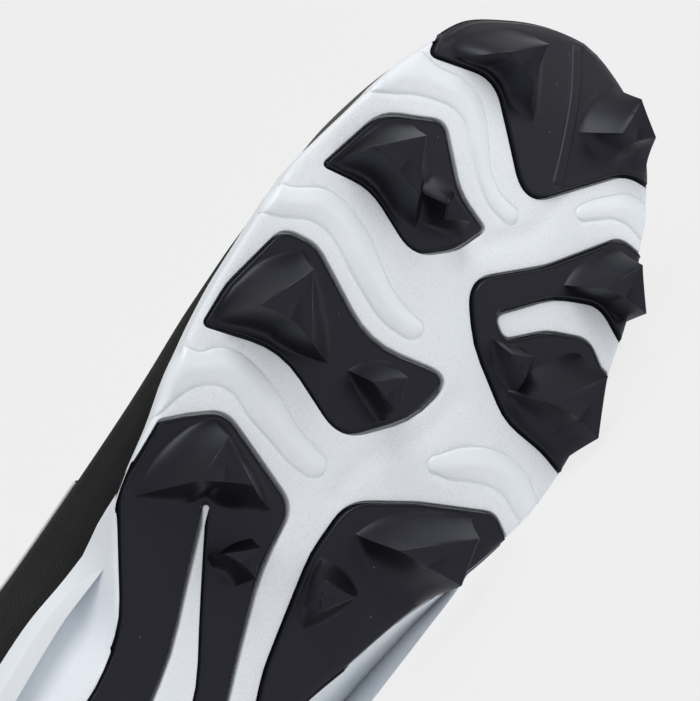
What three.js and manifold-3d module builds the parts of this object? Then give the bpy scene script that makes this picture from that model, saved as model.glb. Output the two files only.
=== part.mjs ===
import * as THREE from "three";
import { ConvexGeometry } from "three/addons/geometries/ConvexGeometry.js";
import { mergeVertices } from "three/addons/utils/BufferGeometryUtils.js";
import Module from "manifold-3d";

const wasm = await Module();
wasm.setup();

// A right football cleat, lying on its medial side.
// In the shoe's own frame x runs from heel to toe, y to the medial side and z up from the sole's face.

// Driving sizes, in millimetres
const length = 300;
const ballWidth = 96.5;
const instepHeight = 92;
const collarHeight = 72;
const toeSpring = 16;
const springStart = 205;
const archRise = 3;
const archStart = 55;
const archEnd = 165;
const heelLean = 6;
const heelLeanReach = 60;

// The white sole plate
const plateThickness = 5;
const plateWall = 1.6;
const wallHeight = 28;
const edgeRound = 1.2;

// The black rubber pods and their studs
const podDepth = 3.2;
const rubberProud = 0.8;
const rubberSunk = 0.4;
const studHeight = 12;
const smallStudHeight = 6.5;
const studFlare = 5;
const smallStudFlare = 2.6;

// The upper, its openings, and what is inside
const upperWall = 2;
const lastingMargin = 12;
const throatBack = 98;
const throatFront = 202;
const throatHalfBack = 17;
const throatHalfFront = 9;
const insoleThickness = 4;
const tongueThickness = 3;
const tongueHalf = 22;
const tongueRound = 10;
const tongueRise = 12;

// The laces
const laceWidth = 6;
const laceThickness = 1.6;
const laceCrossings = 5;
const laceReach = 9;
const firstLace = 118;
const lastLace = 190;

// The clearance between neighbours, and how far a cut runs past what it cuts
const gap = 0.3;
const cutOverlap = 1;
const collarOverlap = 6;

// How finely the forms are cut
const upperStations = 26;
const ringQuarter = 5;
const soleStations = 30;
const soleStep = 11;
const outlineSteps = 60;
const collarStep = 6.5;
const filletTurn = 0.3;
const filletRoom = 0.48;
const slopeStride = 0.4;
const slopeSwing = 0.02;

// How squarely the medial side must face the ground for the shoe to lie on it
const lyingLeast = 0.7;

const column = (names, ...rows) => {
  const keys = names.split(" ");
  return rows.map((row) => Object.fromEntries(keys.map((key, i) => [key, row[i]])));
};

// The sole's edge: shares of the length, then of the ball width
const soleEdge = column(
  "at lateral medial",
  [0.0, -0.073, 0.01],
  [0.005, -0.145, 0.093],
  [0.017, -0.228, 0.187],
  [0.05, -0.321, 0.28],
  [0.1, -0.352, 0.311],
  [0.167, -0.342, 0.301],
  [0.233, -0.28, 0.249],
  [0.283, -0.228, 0.218],
  [0.333, -0.228, 0.218],
  [0.383, -0.321, 0.244],
  [0.433, -0.409, 0.29],
  [0.5, -0.446, 0.355],
  [0.55, -0.474, 0.425],
  [0.583, -0.487, 0.46],
  [0.617, -0.492, 0.487],
  [0.667, -0.492, 0.508],
  [0.717, -0.487, 0.508],
  [0.767, -0.456, 0.492],
  [0.8, -0.43, 0.477],
  [0.833, -0.404, 0.456],
  [0.867, -0.368, 0.425],
  [0.9, -0.321, 0.394],
  [0.933, -0.269, 0.358],
  [0.967, -0.155, 0.29],
  [0.987, -0.062, 0.207],
  [0.997, 0.01, 0.128],
  [1.0, 0.041, 0.088],
);

// The height of the plate's side wall: shares of the length, then of wallHeight
const wallTop = column(
  "at lateral medial",
  [0.0, 0.89, 0.89],
  [0.067, 0.86, 0.86],
  [0.167, 0.8, 0.78],
  [0.267, 0.78, 0.78],
  [0.317, 0.74, 0.8],
  [0.36, 0.67, 0.82],
  [0.4, 0.6, 0.82],
  [0.42, 0.38, 0.81],
  [0.437, 0.18, 0.8],
  [0.483, 0.21, 0.7],
  [0.527, 0.28, 0.56],
  [0.573, 0.27, 0.42],
  [0.633, 0.3, 0.32],
  [0.833, 0.29, 0.3],
  [0.917, 0.32, 0.32],
  [0.967, 0.39, 0.39],
  [1.0, 0.43, 0.43],
);

// The upper's sections: shares of the length, of the ball width and of the instep height,
// with the power of each half's curve, where 2 is an ellipse and more is boxier
const upperForm = column(
  "at lateral medial crest widest top lateralUnder medialUnder over",
  [0.005, -0.062, 0.021, -0.021, 0.239, 1.217, 3, 3, 2.2],
  [0.01, -0.124, 0.083, -0.021, 0.239, 1.217, 3, 3, 2.2],
  [0.023, -0.207, 0.161, -0.021, 0.25, 1.228, 3, 3, 2.2],
  [0.05, -0.285, 0.244, -0.021, 0.261, 1.239, 3, 3, 2.2],
  [0.1, -0.332, 0.295, -0.021, 0.283, 1.25, 3.2, 3, 2.2],
  [0.183, -0.342, 0.316, -0.01, 0.326, 1.239, 3.4, 3, 2.2],
  [0.267, -0.347, 0.346, -0.01, 0.41, 1.207, 4, 2.8, 2.3],
  [0.333, -0.352, 0.4, 0.0, 0.5, 1.087, 4.4, 2.8, 2.1],
  [0.383, -0.345, 0.427, 0.0, 0.52, 0.99, 4.4, 2.8, 1.8],
  [0.443, -0.363, 0.437, 0.01, 0.46, 0.88, 4.2, 3, 1.75],
  [0.5, -0.394, 0.442, 0.01, 0.35, 0.8, 4.2, 3.6, 1.75],
  [0.56, -0.43, 0.451, 0.01, 0.217, 0.724, 5, 5, 1.8],
  [0.617, -0.448, 0.472, 0.01, 0.174, 0.661, 5, 5, 1.8],
  [0.667, -0.45, 0.483, 0.021, 0.163, 0.612, 5, 5, 1.8],
  [0.717, -0.444, 0.483, 0.021, 0.152, 0.575, 5, 5, 1.8],
  [0.773, -0.424, 0.466, 0.031, 0.141, 0.533, 5, 5, 1.8],
  [0.833, -0.379, 0.43, 0.041, 0.141, 0.489, 5, 5, 1.9],
  [0.883, -0.324, 0.387, 0.052, 0.141, 0.446, 4.6, 4.6, 2],
  [0.933, -0.244, 0.32, 0.062, 0.136, 0.375, 4.2, 4.2, 2.1],
  [0.963, -0.14, 0.262, 0.062, 0.13, 0.31, 3.6, 3.6, 2.2],
  [0.983, -0.05, 0.187, 0.067, 0.13, 0.245, 3, 3, 2.2],
  [0.994, 0.025, 0.108, 0.067, 0.13, 0.19, 2.6, 2.6, 2.2],
);

// The collar's line from the heel to the throat: shares of the length and of collarHeight
const collarLine = column(
  "at height",
  [0.0, 1.0],
  [0.04, 0.979],
  [0.073, 0.917],
  [0.117, 0.833],
  [0.173, 0.785],
  [0.233, 0.819],
  [0.28, 0.931],
  [0.317, 1.097],
  [0.347, 1.264],
);

// Corners of each pod's outline: shares of the length and of the ball width, and a fillet in millimetres
const podTables = {
  toe_pod: column(
    "at across round",
    [0.881, -0.326, 1.5],
    [0.928, -0.311, 14],
    [1.0, -0.093, 40],
    [1.01, 0.124, 25],
    [0.99, 0.321, 14],
    [0.927, 0.415, 1.2],
    [0.922, 0.295, 12],
    [0.831, 0.078, 7],
    [0.907, -0.14, 9],
  ),
  lateral_front_pod: column(
    "at across round",
    [0.74, -0.425, 1],
    [0.81, -0.363, 14],
    [0.843, -0.207, 4],
    [0.8, -0.083, 14],
    [0.79, 0.021, 1.5],
    [0.761, -0.016, 16],
    [0.73, -0.109, 9],
    [0.752, -0.29, 16],
  ),
  lateral_ball_pod: column(
    "at across round",
    [0.575, -0.466, 1.2],
    [0.613, -0.468, 20],
    [0.678, -0.425, 6],
    [0.685, -0.332, 8],
    [0.65, -0.093, 22],
    [0.672, 0.137, 4.5],
    [0.627, 0.112, 30],
    [0.573, -0.026, 10],
    [0.6, -0.269, 22],
  ),
  medial_ball_pod: column(
    "at across round",
    [0.868, 0.477, 1.5],
    [0.867, 0.352, 6],
    [0.8, 0.207, 40],
    [0.745, 0.044, 8],
    [0.705, 0.14, 25],
    [0.672, 0.311, 16],
    [0.672, 0.435, 20],
    [0.665, 0.539, 1.2],
    [0.759, 0.539, 1.2],
    [0.761, 0.462, 1.5],
    [0.774, 0.399, 6],
    [0.755, 0.29, 16],
    [0.724, 0.202, 3],
    [0.735, 0.145, 3],
    [0.783, 0.264, 22],
    [0.805, 0.383, 8],
    [0.791, 0.477, 1.5],
    [0.789, 0.518, 1.2],
  ),
  medial_waist_pod: column(
    "at across round",
    [0.606, 0.409, 4],
    [0.59, 0.5, 2.5],
    [0.527, 0.405, 40],
    [0.4, 0.262, 80],
    [0.323, 0.202, 2],
    [0.393, 0.122, 40],
    [0.487, 0.062, 30],
    [0.537, 0.07, 12],
    [0.573, 0.228, 30],
  ),
  waist_heel_pod: column(
    "at across round",
    [0.495, -0.427, 1.5],
    [0.512, -0.378, 3],
    [0.533, -0.306, 7],
    [0.507, -0.037, 7],
    [0.453, -0.02, 40],
    [0.358, 0.085, 60],
    [0.267, 0.161, 30],
    [0.167, 0.275, 40],
    [0.06, 0.285, 16],
    [0.023, 0.176, 9],
    [0.023, 0.052, 2.5],
    [0.267, 0.052, 40],
    [0.344, 0.02, 40],
    [0.474, -0.231, 0.5],
    [0.36, -0.093, 60],
    [0.267, -0.052, 40],
    [0.023, -0.052, 2.5],
    [0.02, -0.228, 9],
    [0.06, -0.321, 16],
    [0.167, -0.326, 40],
    [0.283, -0.205, 30],
    [0.347, -0.218, 30],
    [0.433, -0.413, 16],
  ),
};
const sunkPods = ["lateral_front_pod", "lateral_ball_pod", "waist_heel_pod"];

// Studs: the front corner of each tip in shares, which way its back lies in degrees,
// and the tip's depth and spread in millimetres
const studTable = column(
  "pod at across turn depth spread",
  ["toe_pod", 0.946, -0.099, 196, 10.3, 10],
  ["toe_pod", 0.967, 0.193, 151, 8.9, 9.5],
  ["lateral_front_pod", 0.8, -0.279, 188, 11.6, 16],
  ["lateral_ball_pod", 0.65, -0.35, 175, 14.6, 15],
  ["waist_heel_pod", 0.504, -0.309, 149, 10.3, 13],
  ["medial_ball_pod", 0.839, 0.381, 174, 10.1, 12.4],
  ["medial_ball_pod", 0.739, 0.434, 184, 13.9, 13.8],
  ["medial_waist_pod", 0.566, 0.355, 206, 14.8, 17.6],
  ["waist_heel_pod", 0.227, -0.202, 180, 13, 12],
  ["waist_heel_pod", 0.1, -0.218, 170, 14, 14],
  ["waist_heel_pod", 0.227, 0.161, 180, 13, 10],
  ["waist_heel_pod", 0.1, 0.181, 190, 14, 13],
);
const smallStudTable = column(
  "pod at across turn depth spread",
  ["lateral_front_pod", 0.788, -0.104, 200, 7, 8],
  ["lateral_ball_pod", 0.637, 0.021, 199, 8.4, 9.6],
  ["waist_heel_pod", 0.459, -0.073, 199, 7.3, 10.7],
  ["medial_ball_pod", 0.721, 0.268, 209, 5.9, 7.1],
  ["medial_waist_pod", 0.475, 0.191, 239, 8.9, 7],
);

// Materials
const whitePlate = { color: 0xe3ebf2, roughness: 0.45, metalness: 0 };
const blackRubber = { color: 0x2b2b33, roughness: 0.4, metalness: 0 };
const blackKnit = { color: 0x151517, roughness: 0.85, metalness: 0 };
const greyFoam = { color: 0x8d9298, roughness: 0.9, metalness: 0 };
const blackLace = { color: 0x1b1b1e, roughness: 0.8, metalness: 0 };

// Curves through the tables

// A smooth value from a table, with slopes that never overshoot a row
function read(rows, name, x, unit) {
  const share = x / length;
  const last = rows.length - 1;
  if (share <= rows[0].at) return rows[0][name] * unit;
  if (share >= rows[last].at) return rows[last][name] * unit;
  const i = rows.findIndex((row) => row.at > share) - 1;
  const step = (k) => (rows[k + 1][name] - rows[k][name]) / (rows[k + 1].at - rows[k].at);
  const slope = (k) => {
    if (k === 0) return step(0);
    if (k === last) return step(last - 1);
    const before = step(k - 1);
    const after = step(k);
    return before * after > 0 ? (2 * before * after) / (before + after) : 0;
  };
  const span = rows[i + 1].at - rows[i].at;
  const t = (share - rows[i].at) / span;
  const rise = t * t * (3 - 2 * t);
  const value =
    rows[i][name] * (1 - rise) +
    rows[i + 1][name] * rise +
    span * slope(i) * t * (1 - t) ** 2 -
    span * slope(i + 1) * t * t * (1 - t);
  return value * unit;
}

// How far the sole's face is off the ground at x, from the arch and the toe spring
function ground(x) {
  const spring = Math.max(0, (x - springStart) / (length - springStart));
  const arch = Math.min(1, Math.max(0, (x - archStart) / (archEnd - archStart)));
  return toeSpring * spring ** 2 + archRise * Math.sin(Math.PI * arch) ** 2;
}

// The heel's back leans forward with height
function place(x, y, z) {
  const reach = Math.max(0, 1 - x / heelLeanReach);
  return new THREE.Vector3(x + heelLean * (z / collarHeight) ** 2 * reach, y, z + ground(x));
}

const upperBase = plateThickness + gap;

function upperSection(x) {
  return {
    lateral: read(upperForm, "lateral", x, ballWidth),
    medial: read(upperForm, "medial", x, ballWidth),
    crest: read(upperForm, "crest", x, ballWidth),
    widest: read(upperForm, "widest", x, instepHeight),
    top: read(upperForm, "top", x, instepHeight),
    lateralUnder: read(upperForm, "lateralUnder", x, 1),
    medialUnder: read(upperForm, "medialUnder", x, 1),
    over: read(upperForm, "over", x, 1),
  };
}

// The upper's outer side at a height, on the lateral or the medial side
function upperSide(x, z, side) {
  const s = upperSection(x);
  const low = z < s.widest;
  const reach = low ? s.widest - upperBase : s.top - s.widest;
  const power = low ? s[`${side}Under`] : s.over;
  const share = Math.min(1, Math.abs(z - s.widest) / reach);
  return s.crest + (s[side] - s.crest) * (1 - share ** power) ** (1 / power);
}

// A point of a section before it is placed: turn 0 is the medial side and a quarter turn the crest
function sectionPoint(x, turn) {
  const s = upperSection(x);
  const high = Math.sin(turn) >= 0;
  const medial = Math.cos(turn) >= 0;
  const power = 2 / (high ? s.over : medial ? s.medialUnder : s.lateralUnder);
  const half = medial ? s.medial - s.crest : s.crest - s.lateral;
  const tall = high ? s.top - s.widest : s.widest - upperBase;
  const y = s.crest + half * Math.sign(Math.cos(turn)) * Math.abs(Math.cos(turn)) ** power;
  const z = s.widest + tall * Math.sign(Math.sin(turn)) * Math.abs(Math.sin(turn)) ** power;
  return new THREE.Vector3(x, y, z);
}

const heelEnd = upperForm[0].at * length;
const toeEnd = upperForm[upperForm.length - 1].at * length;

// A point of the upper's form, moved out of the surface by an offset
function formPoint(x, turn, offset) {
  const point = sectionPoint(x, turn);
  if (offset !== 0) {
    const along = sectionPoint(x + slopeStride, turn).sub(sectionPoint(x - slopeStride, turn));
    const around = sectionPoint(x, turn + slopeSwing).sub(sectionPoint(x, turn - slopeSwing));
    point.addScaledVector(around.cross(along).normalize(), offset);
    if (x === heelEnd) point.x = -Infinity;
    if (x === toeEnd) point.x = Infinity;
    point.x = Math.min(toeEnd + offset, Math.max(heelEnd - offset, point.x));
  }
  return place(point.x, point.y, point.z);
}

// Solids

function solidOf(geometry) {
  geometry.deleteAttribute("normal");
  geometry.deleteAttribute("uv");
  const merged = mergeVertices(geometry, 1e-5);
  return new wasm.Manifold(
    new wasm.Mesh({
      numProp: 3,
      vertProperties: new Float32Array(merged.attributes.position.array),
      triVerts: new Uint32Array(merged.index.array),
    }),
  );
}

function geometryOf(solid) {
  const mesh = solid.getMesh();
  const geometry = new THREE.BufferGeometry();
  geometry.setAttribute("position", new THREE.BufferAttribute(new Float32Array(mesh.vertProperties), 3));
  geometry.setIndex(new THREE.BufferAttribute(new Uint32Array(mesh.triVerts), 1));
  return geometry;
}

// Closed rings of points, joined into one solid with a flat cap at each end
function loft(rings) {
  const count = rings[0].length;
  const points = rings.flat();
  const index = [];
  for (let i = 0; i + 1 < rings.length; i += 1) {
    for (let k = 0; k < count; k += 1) {
      const a = i * count + k;
      const b = i * count + ((k + 1) % count);
      index.push(a, b, a + count, b, b + count, a + count);
    }
  }
  for (const end of [0, rings.length - 1]) {
    const middle = new THREE.Vector3();
    for (const point of rings[end]) middle.addScaledVector(point, 1 / count);
    points.push(middle);
    for (let k = 0; k < count; k += 1) {
      const a = end * count + k;
      const b = end * count + ((k + 1) % count);
      if (end === 0) index.push(b, a, points.length - 1);
      else index.push(a, b, points.length - 1);
    }
  }
  let volume = 0;
  for (let i = 0; i < index.length; i += 3) {
    const [a, b, c] = [points[index[i]], points[index[i + 1]], points[index[i + 2]]];
    volume += a.dot(new THREE.Vector3().crossVectors(b, c));
  }
  const geometry = new THREE.BufferGeometry().setFromPoints(points);
  geometry.setIndex(volume > 0 ? index : index.reverse());
  return solidOf(geometry);
}

// The upper's form as a solid, grown or shrunk by an offset
function form(offset) {
  const turns = 4 * ringQuarter;
  const rings = [];
  for (let i = 0; i <= upperStations; i += 1) {
    const share = (1 - Math.cos((Math.PI * i) / upperStations)) / 2;
    const x = heelEnd + (toeEnd - heelEnd) * share;
    const ring = [];
    for (let k = 0; k < turns; k += 1) ring.push(formPoint(x, (2 * Math.PI * k) / turns, offset));
    rings.push(ring);
  }
  return loft(rings);
}

// A wide layer that follows the sole's face, between two heights over it
function layer(low, high) {
  const rings = [];
  for (let x = -2 * soleStep; x < length + 2 * soleStep; x += soleStep) {
    rings.push([
      new THREE.Vector3(x, -ballWidth, ground(x) + low),
      new THREE.Vector3(x, ballWidth, ground(x) + low),
      new THREE.Vector3(x, ballWidth, ground(x) + high),
      new THREE.Vector3(x, -ballWidth, ground(x) + high),
    ]);
  }
  return loft(rings);
}

// An upright prism over a plan outline
function prism(outline, low, high) {
  const shape = new THREE.Shape(outline);
  const geometry = new THREE.ExtrudeGeometry(shape, { depth: high - low, bevelEnabled: false });
  return solidOf(geometry.translate(0, 0, low));
}

// Outlines

// A closed outline with each corner turned by its own fillet
function rounded(corners) {
  const points = [];
  corners.forEach((corner, i) => {
    const before = corners[(i + corners.length - 1) % corners.length];
    const after = corners[(i + 1) % corners.length];
    const back = before.point.clone().sub(corner.point);
    const ahead = after.point.clone().sub(corner.point);
    const half = Math.acos(back.dot(ahead) / (back.length() * ahead.length())) / 2;
    const room = filletRoom * Math.min(back.length(), ahead.length());
    const reach = Math.min(corner.round / Math.tan(half), room);
    const start = corner.point.clone().addScaledVector(back.normalize(), reach);
    const end = corner.point.clone().addScaledVector(ahead.normalize(), reach);
    const steps = Math.max(2, Math.round((Math.PI - 2 * half) / filletTurn));
    const curve = new THREE.QuadraticBezierCurve(start, corner.point, end);
    points.push(...curve.getPoints(steps));
  });
  return points;
}

// An outline moved outwards by a distance
function grown(points, distance) {
  const turning = THREE.ShapeUtils.area(points) > 0 ? 1 : -1;
  return points.map((point, i) => {
    const before = points[(i + points.length - 1) % points.length];
    const after = points[(i + 1) % points.length];
    const normal = new THREE.Vector2(after.y - before.y, before.x - after.x).normalize();
    return point.clone().addScaledVector(normal, distance * turning);
  });
}

function podOutline(name) {
  return rounded(
    podTables[name].map((row) => ({
      point: new THREE.Vector2(row.at * length, row.across * ballWidth),
      round: row.round,
    })),
  );
}

// The sole unit: a tray that holds the upper's lower edge

function trayRing(x) {
  const side = (name) => {
    const edge = read(soleEdge, name, x, ballWidth);
    const inwards = name === "medial" ? -1 : 1;
    const top = read(wallTop, name, x, wallHeight);
    const wall = (z) => upperSide(x, z, name) - inwards * (gap + plateWall);
    const outer = inwards < 0 ? Math.max : Math.min;
    const rim = outer(wall(top), edge + inwards * edgeRound);
    const line = [place(x, edge + inwards * edgeRound, 0), place(x, edge, edgeRound)];
    for (const share of [1 / 3, 2 / 3]) {
      const z = edgeRound + (top - edgeRound) * share;
      line.push(place(x, outer(edge + (rim - edge) * share, wall(z)), z));
    }
    line.push(place(x, rim, top));
    return line;
  };
  return [...side("lateral").reverse(), ...side("medial")];
}

function tray() {
  const rings = [];
  for (let i = 0; i <= soleStations; i += 1) {
    rings.push(trayRing((length * (1 - Math.cos((Math.PI * i) / soleStations))) / 2));
  }
  return loft(rings);
}

// A stud: a wedge from a wide base to a flat three-cornered tip
function stud(row, height, flare) {
  const front = new THREE.Vector2(row.at * length, row.across * ballWidth);
  const turn = THREE.MathUtils.degToRad(row.turn);
  const back = new THREE.Vector2(Math.cos(turn), Math.sin(turn));
  const aside = new THREE.Vector2(-back.y, back.x);
  const middle = front.clone().addScaledVector(back, row.depth);
  const tip = [
    front,
    middle.clone().addScaledVector(aside, row.spread / 2),
    middle.clone().addScaledVector(aside, -row.spread / 2),
  ];
  const face = ground(front.x) - height;
  const points = tip.map((p) => new THREE.Vector3(p.x, p.y, face));
  tip.forEach((p, i) => {
    for (const other of [tip[(i + 1) % 3], tip[(i + 2) % 3]]) {
      const edge = other.clone().sub(p).normalize();
      const third = tip.find((corner) => corner !== p && corner !== other);
      const normal = new THREE.Vector2(-edge.y, edge.x);
      if (normal.dot(third.clone().sub(p)) > 0) normal.negate();
      const foot = p.clone().addScaledVector(normal, flare);
      points.push(new THREE.Vector3(foot.x, foot.y, ground(foot.x) + podDepth / 2));
    }
  });
  return solidOf(new ConvexGeometry(points));
}

// The plan of the sole's edge
function soleOutline(inset) {
  const lateral = [];
  const medial = [];
  for (let i = 0; i <= outlineSteps; i += 1) {
    const x = (length * (1 - Math.cos((Math.PI * i) / outlineSteps))) / 2;
    lateral.push(new THREE.Vector2(x, read(soleEdge, "lateral", x, ballWidth)));
    medial.push(new THREE.Vector2(x, read(soleEdge, "medial", x, ballWidth)));
  }
  return grown([...lateral, ...medial.reverse()], -inset);
}

function pod(name) {
  const plan = prism(podOutline(name), -length, length).intersect(prism(soleOutline(0), -length, length));
  const proud = sunkPods.includes(name) ? -rubberSunk : rubberProud;
  let solid = layer(-proud, podDepth);
  for (const row of studTable.filter((r) => r.pod === name)) {
    solid = solid.add(stud(row, studHeight, studFlare));
  }
  for (const row of smallStudTable.filter((r) => r.pod === name)) {
    solid = solid.add(stud(row, smallStudHeight, smallStudFlare));
  }
  return solid.intersect(plan);
}

function podRecess(name) {
  return prism(grown(podOutline(name), gap), -length, length).intersect(layer(-studHeight, podDepth + gap));
}

function solePlate() {
  let solid = tray().subtract(form(gap));
  for (const name of Object.keys(podTables)) solid = solid.subtract(podRecess(name));
  return solid;
}

// The upper's openings

// Everything over the collar's line, from the heel to the throat
function aboveCollar() {
  const front = throatBack + collarOverlap;
  const line = [new THREE.Vector2(-collarHeight, collarHeight)];
  for (let x = 0; x <= front; x += collarStep) {
    line.push(new THREE.Vector2(x, read(collarLine, "height", x, collarHeight)));
  }
  line.push(new THREE.Vector2(front, length), new THREE.Vector2(-collarHeight, length));
  const shape = new THREE.Shape(line);
  const geometry = new THREE.ExtrudeGeometry(shape, { depth: 2 * ballWidth, bevelEnabled: false });
  return solidOf(geometry.rotateX(Math.PI / 2).translate(0, ballWidth, 0));
}

// The least height of what is cut from the top of the instep
const overFoot = instepHeight / 3;

// A strip over the instep, from one x to another, with its own half widths
function overInstep(back, front, halfBack, halfFront, round) {
  const corners = [
    { point: new THREE.Vector2(back, -halfBack), round },
    { point: new THREE.Vector2(front, -halfFront), round },
    { point: new THREE.Vector2(front, halfFront), round },
    { point: new THREE.Vector2(back, halfBack), round },
  ];
  return prism(rounded(corners), overFoot, length);
}

function throat() {
  const back = throatBack - throatHalfBack;
  return overInstep(back, throatFront, throatHalfBack, throatHalfFront, throatHalfFront);
}

function lastingGap() {
  const plan = soleOutline(lastingMargin).filter((point) => point.x > lastingMargin);
  const inside = plan.filter((point) => point.x < length - lastingMargin);
  return prism(inside, -length, length).intersect(layer(0, upperBase + upperWall + cutOverlap));
}

function upper() {
  return form(0)
    .subtract(form(-upperWall))
    .subtract(aboveCollar())
    .subtract(throat())
    .subtract(lastingGap());
}

// Inside the upper

const liningDepth = upperWall + gap;

function insole() {
  const base = upperBase + liningDepth;
  return form(-liningDepth).intersect(layer(base, base + insoleThickness));
}

function tongue() {
  const back = throatBack - tongueRise;
  const strip = overInstep(back, throatFront + tongueRise, tongueHalf, tongueHalf, tongueRound);
  return form(-liningDepth).subtract(form(-liningDepth - tongueThickness)).intersect(strip);
}

// The laces: crossings that lie on the upper, with a straight bar at the front

function laceStrip(from, to) {
  const along = to.clone().sub(from).normalize();
  const aside = new THREE.Vector2(-along.y, along.x).multiplyScalar(laceWidth / 2);
  const corners = [
    from.clone().sub(aside),
    to.clone().sub(aside),
    to.clone().add(aside),
    from.clone().add(aside),
  ];
  return prism(corners, overFoot, length);
}

function laces() {
  const end = (i, side) => {
    const x = lastLace + ((firstLace - lastLace) * i) / laceCrossings;
    const share = (x - throatBack) / (throatFront - throatBack);
    const half = throatHalfBack + (throatHalfFront - throatHalfBack) * share + laceReach;
    return new THREE.Vector2(x, side * half);
  };
  let strips = laceStrip(end(0, -1), end(0, 1));
  for (let i = 0; i < laceCrossings; i += 1) {
    strips = strips.add(laceStrip(end(i, -1), end(i + 1, 1))).add(laceStrip(end(i, 1), end(i + 1, -1)));
  }
  return form(gap + laceThickness).subtract(form(gap)).intersect(strips);
}

// How the shoe lies

// The direction, in the shoe's frame, that faces the ground when it lies on its medial side
function lyingDirection(geometries) {
  const points = [];
  const centre = new THREE.Vector3();
  let volume = 0;
  for (const geometry of geometries) {
    const position = geometry.attributes.position;
    const index = geometry.index;
    const corner = (i) => new THREE.Vector3().fromBufferAttribute(position, index.getX(i));
    for (let i = 0; i < index.count; i += 3) {
      const [a, b, c] = [corner(i), corner(i + 1), corner(i + 2)];
      points.push(a.clone(), b.clone(), c.clone());
      const part = a.dot(new THREE.Vector3().crossVectors(b, c)) / 6;
      centre.addScaledVector(a.add(b).add(c), part / 4);
      volume += part;
    }
  }
  centre.divideScalar(volume);
  const hull = new ConvexGeometry(points).attributes.position;
  for (let i = 0; i < hull.count; i += 3) {
    const corners = [0, 1, 2].map((k) => new THREE.Vector3().fromBufferAttribute(hull, i + k));
    const face = new THREE.Triangle(...corners);
    const normal = face.getNormal(new THREE.Vector3());
    const drop = normal.dot(corners[0].clone().sub(centre));
    const below = centre.clone().addScaledVector(normal, drop);
    if (normal.y > lyingLeast && face.containsPoint(below)) return normal;
  }
  return new THREE.Vector3(0, 1, 0);
}

// Turns the shoe onto its side, with its toe along x and the middle of its footprint at the origin
function lay(group, geometries) {
  const down = new THREE.Vector3(0, 0, -1);
  const roll = new THREE.Quaternion().setFromUnitVectors(lyingDirection(geometries), down);
  const toe = new THREE.Vector3(1, 0, 0).applyQuaternion(roll);
  const yaw = new THREE.Quaternion().setFromAxisAngle(down, Math.atan2(toe.y, toe.x));
  group.quaternion.copy(yaw.multiply(roll));
  group.updateMatrixWorld(true);
  const box = new THREE.Box3().setFromObject(group, true);
  const middle = box.getCenter(new THREE.Vector3());
  group.position.set(-middle.x, -middle.y, -box.min.z);
}

const pieces = [
  ["upper", upper(), blackKnit],
  ["sole_plate", solePlate(), whitePlate],
  ...Object.keys(podTables).map((name) => [name, pod(name), blackRubber]),
  ["insole", insole(), greyFoam],
  ["tongue", tongue(), blackKnit],
  ["laces", laces(), blackLace],
];
const shoe = new THREE.Group();
for (const [name, solid, look] of pieces) {
  const mesh = new THREE.Mesh(geometryOf(solid), new THREE.MeshStandardMaterial(look));
  mesh.name = name;
  shoe.add(mesh);
}
lay(shoe, shoe.children.map((mesh) => mesh.geometry));

const model = new THREE.Group();
model.add(shoe);

export default model;
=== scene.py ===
import math

import bmesh
import bpy
import numpy as np
from mathutils import Matrix, Quaternion, Vector
from mathutils.geometry import delaunay_2d_cdt


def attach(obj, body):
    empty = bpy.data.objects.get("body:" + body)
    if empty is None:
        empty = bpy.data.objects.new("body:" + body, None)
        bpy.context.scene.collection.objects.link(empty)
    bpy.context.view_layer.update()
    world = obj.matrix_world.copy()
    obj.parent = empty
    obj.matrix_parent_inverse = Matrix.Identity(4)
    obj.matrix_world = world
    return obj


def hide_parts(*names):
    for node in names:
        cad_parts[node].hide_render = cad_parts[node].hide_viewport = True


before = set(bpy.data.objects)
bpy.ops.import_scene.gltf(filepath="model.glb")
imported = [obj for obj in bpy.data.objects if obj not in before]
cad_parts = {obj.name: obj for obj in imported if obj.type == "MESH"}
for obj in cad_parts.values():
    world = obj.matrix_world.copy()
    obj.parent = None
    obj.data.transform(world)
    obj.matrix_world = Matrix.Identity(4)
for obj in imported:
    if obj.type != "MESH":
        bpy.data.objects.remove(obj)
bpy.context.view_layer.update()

# How the shoe lies.
# Each piece is modelled on the standing shoe, in millimetres: x from heel to toe, y to the medial side, z up
# from the sole's face. Then its mesh is turned onto the shoe's medial side and moved, as the solids are.

LIE_TURN = Quaternion((0.716910, -0.694920, -0.040146, -0.038915))
LIE_AT = Vector((-149.3066, -46.9289, 26.5417))
lying = Matrix.Scale(0.001, 4) @ Matrix.Translation(LIE_AT) @ LIE_TURN.to_matrix().to_4x4()


def finished(bm, name, materials, sharp=180):
    """Makes the object of a standing mesh, laid down with the shoe, its edges crisp past an angle."""
    bmesh.ops.transform(bm, matrix=lying, verts=bm.verts)
    mesh = bpy.data.meshes.new(name)
    for face in bm.faces:
        face.smooth = True
    bm.to_mesh(mesh)
    bm.free()
    mesh.set_sharp_from_angle(angle=math.radians(sharp))
    for material in materials:
        mesh.materials.append(material)
    piece = bpy.data.objects.new(name, mesh)
    bpy.context.scene.collection.objects.link(piece)
    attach(piece, "root")
    return piece


def colour(code):
    """The linear colour of an sRGB hex code."""
    parts = [int(code[i : i + 2], 16) / 255 for i in (1, 3, 5)]
    return [p / 12.92 if p <= 0.04045 else ((p + 0.055) / 1.055) ** 2.4 for p in parts] + [1]


def add(tree, kind, inputs=None, **settings):
    """Adds a node, with its settings, and with a value or a link for each named input."""
    node = tree.nodes.new(kind)
    for name, value in settings.items():
        setattr(node, name, value)
    for name, value in (inputs or {}).items():
        if isinstance(value, bpy.types.NodeSocket):
            tree.links.new(value, node.inputs[name])
        else:
            node.inputs[name].default_value = value
    return node


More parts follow.
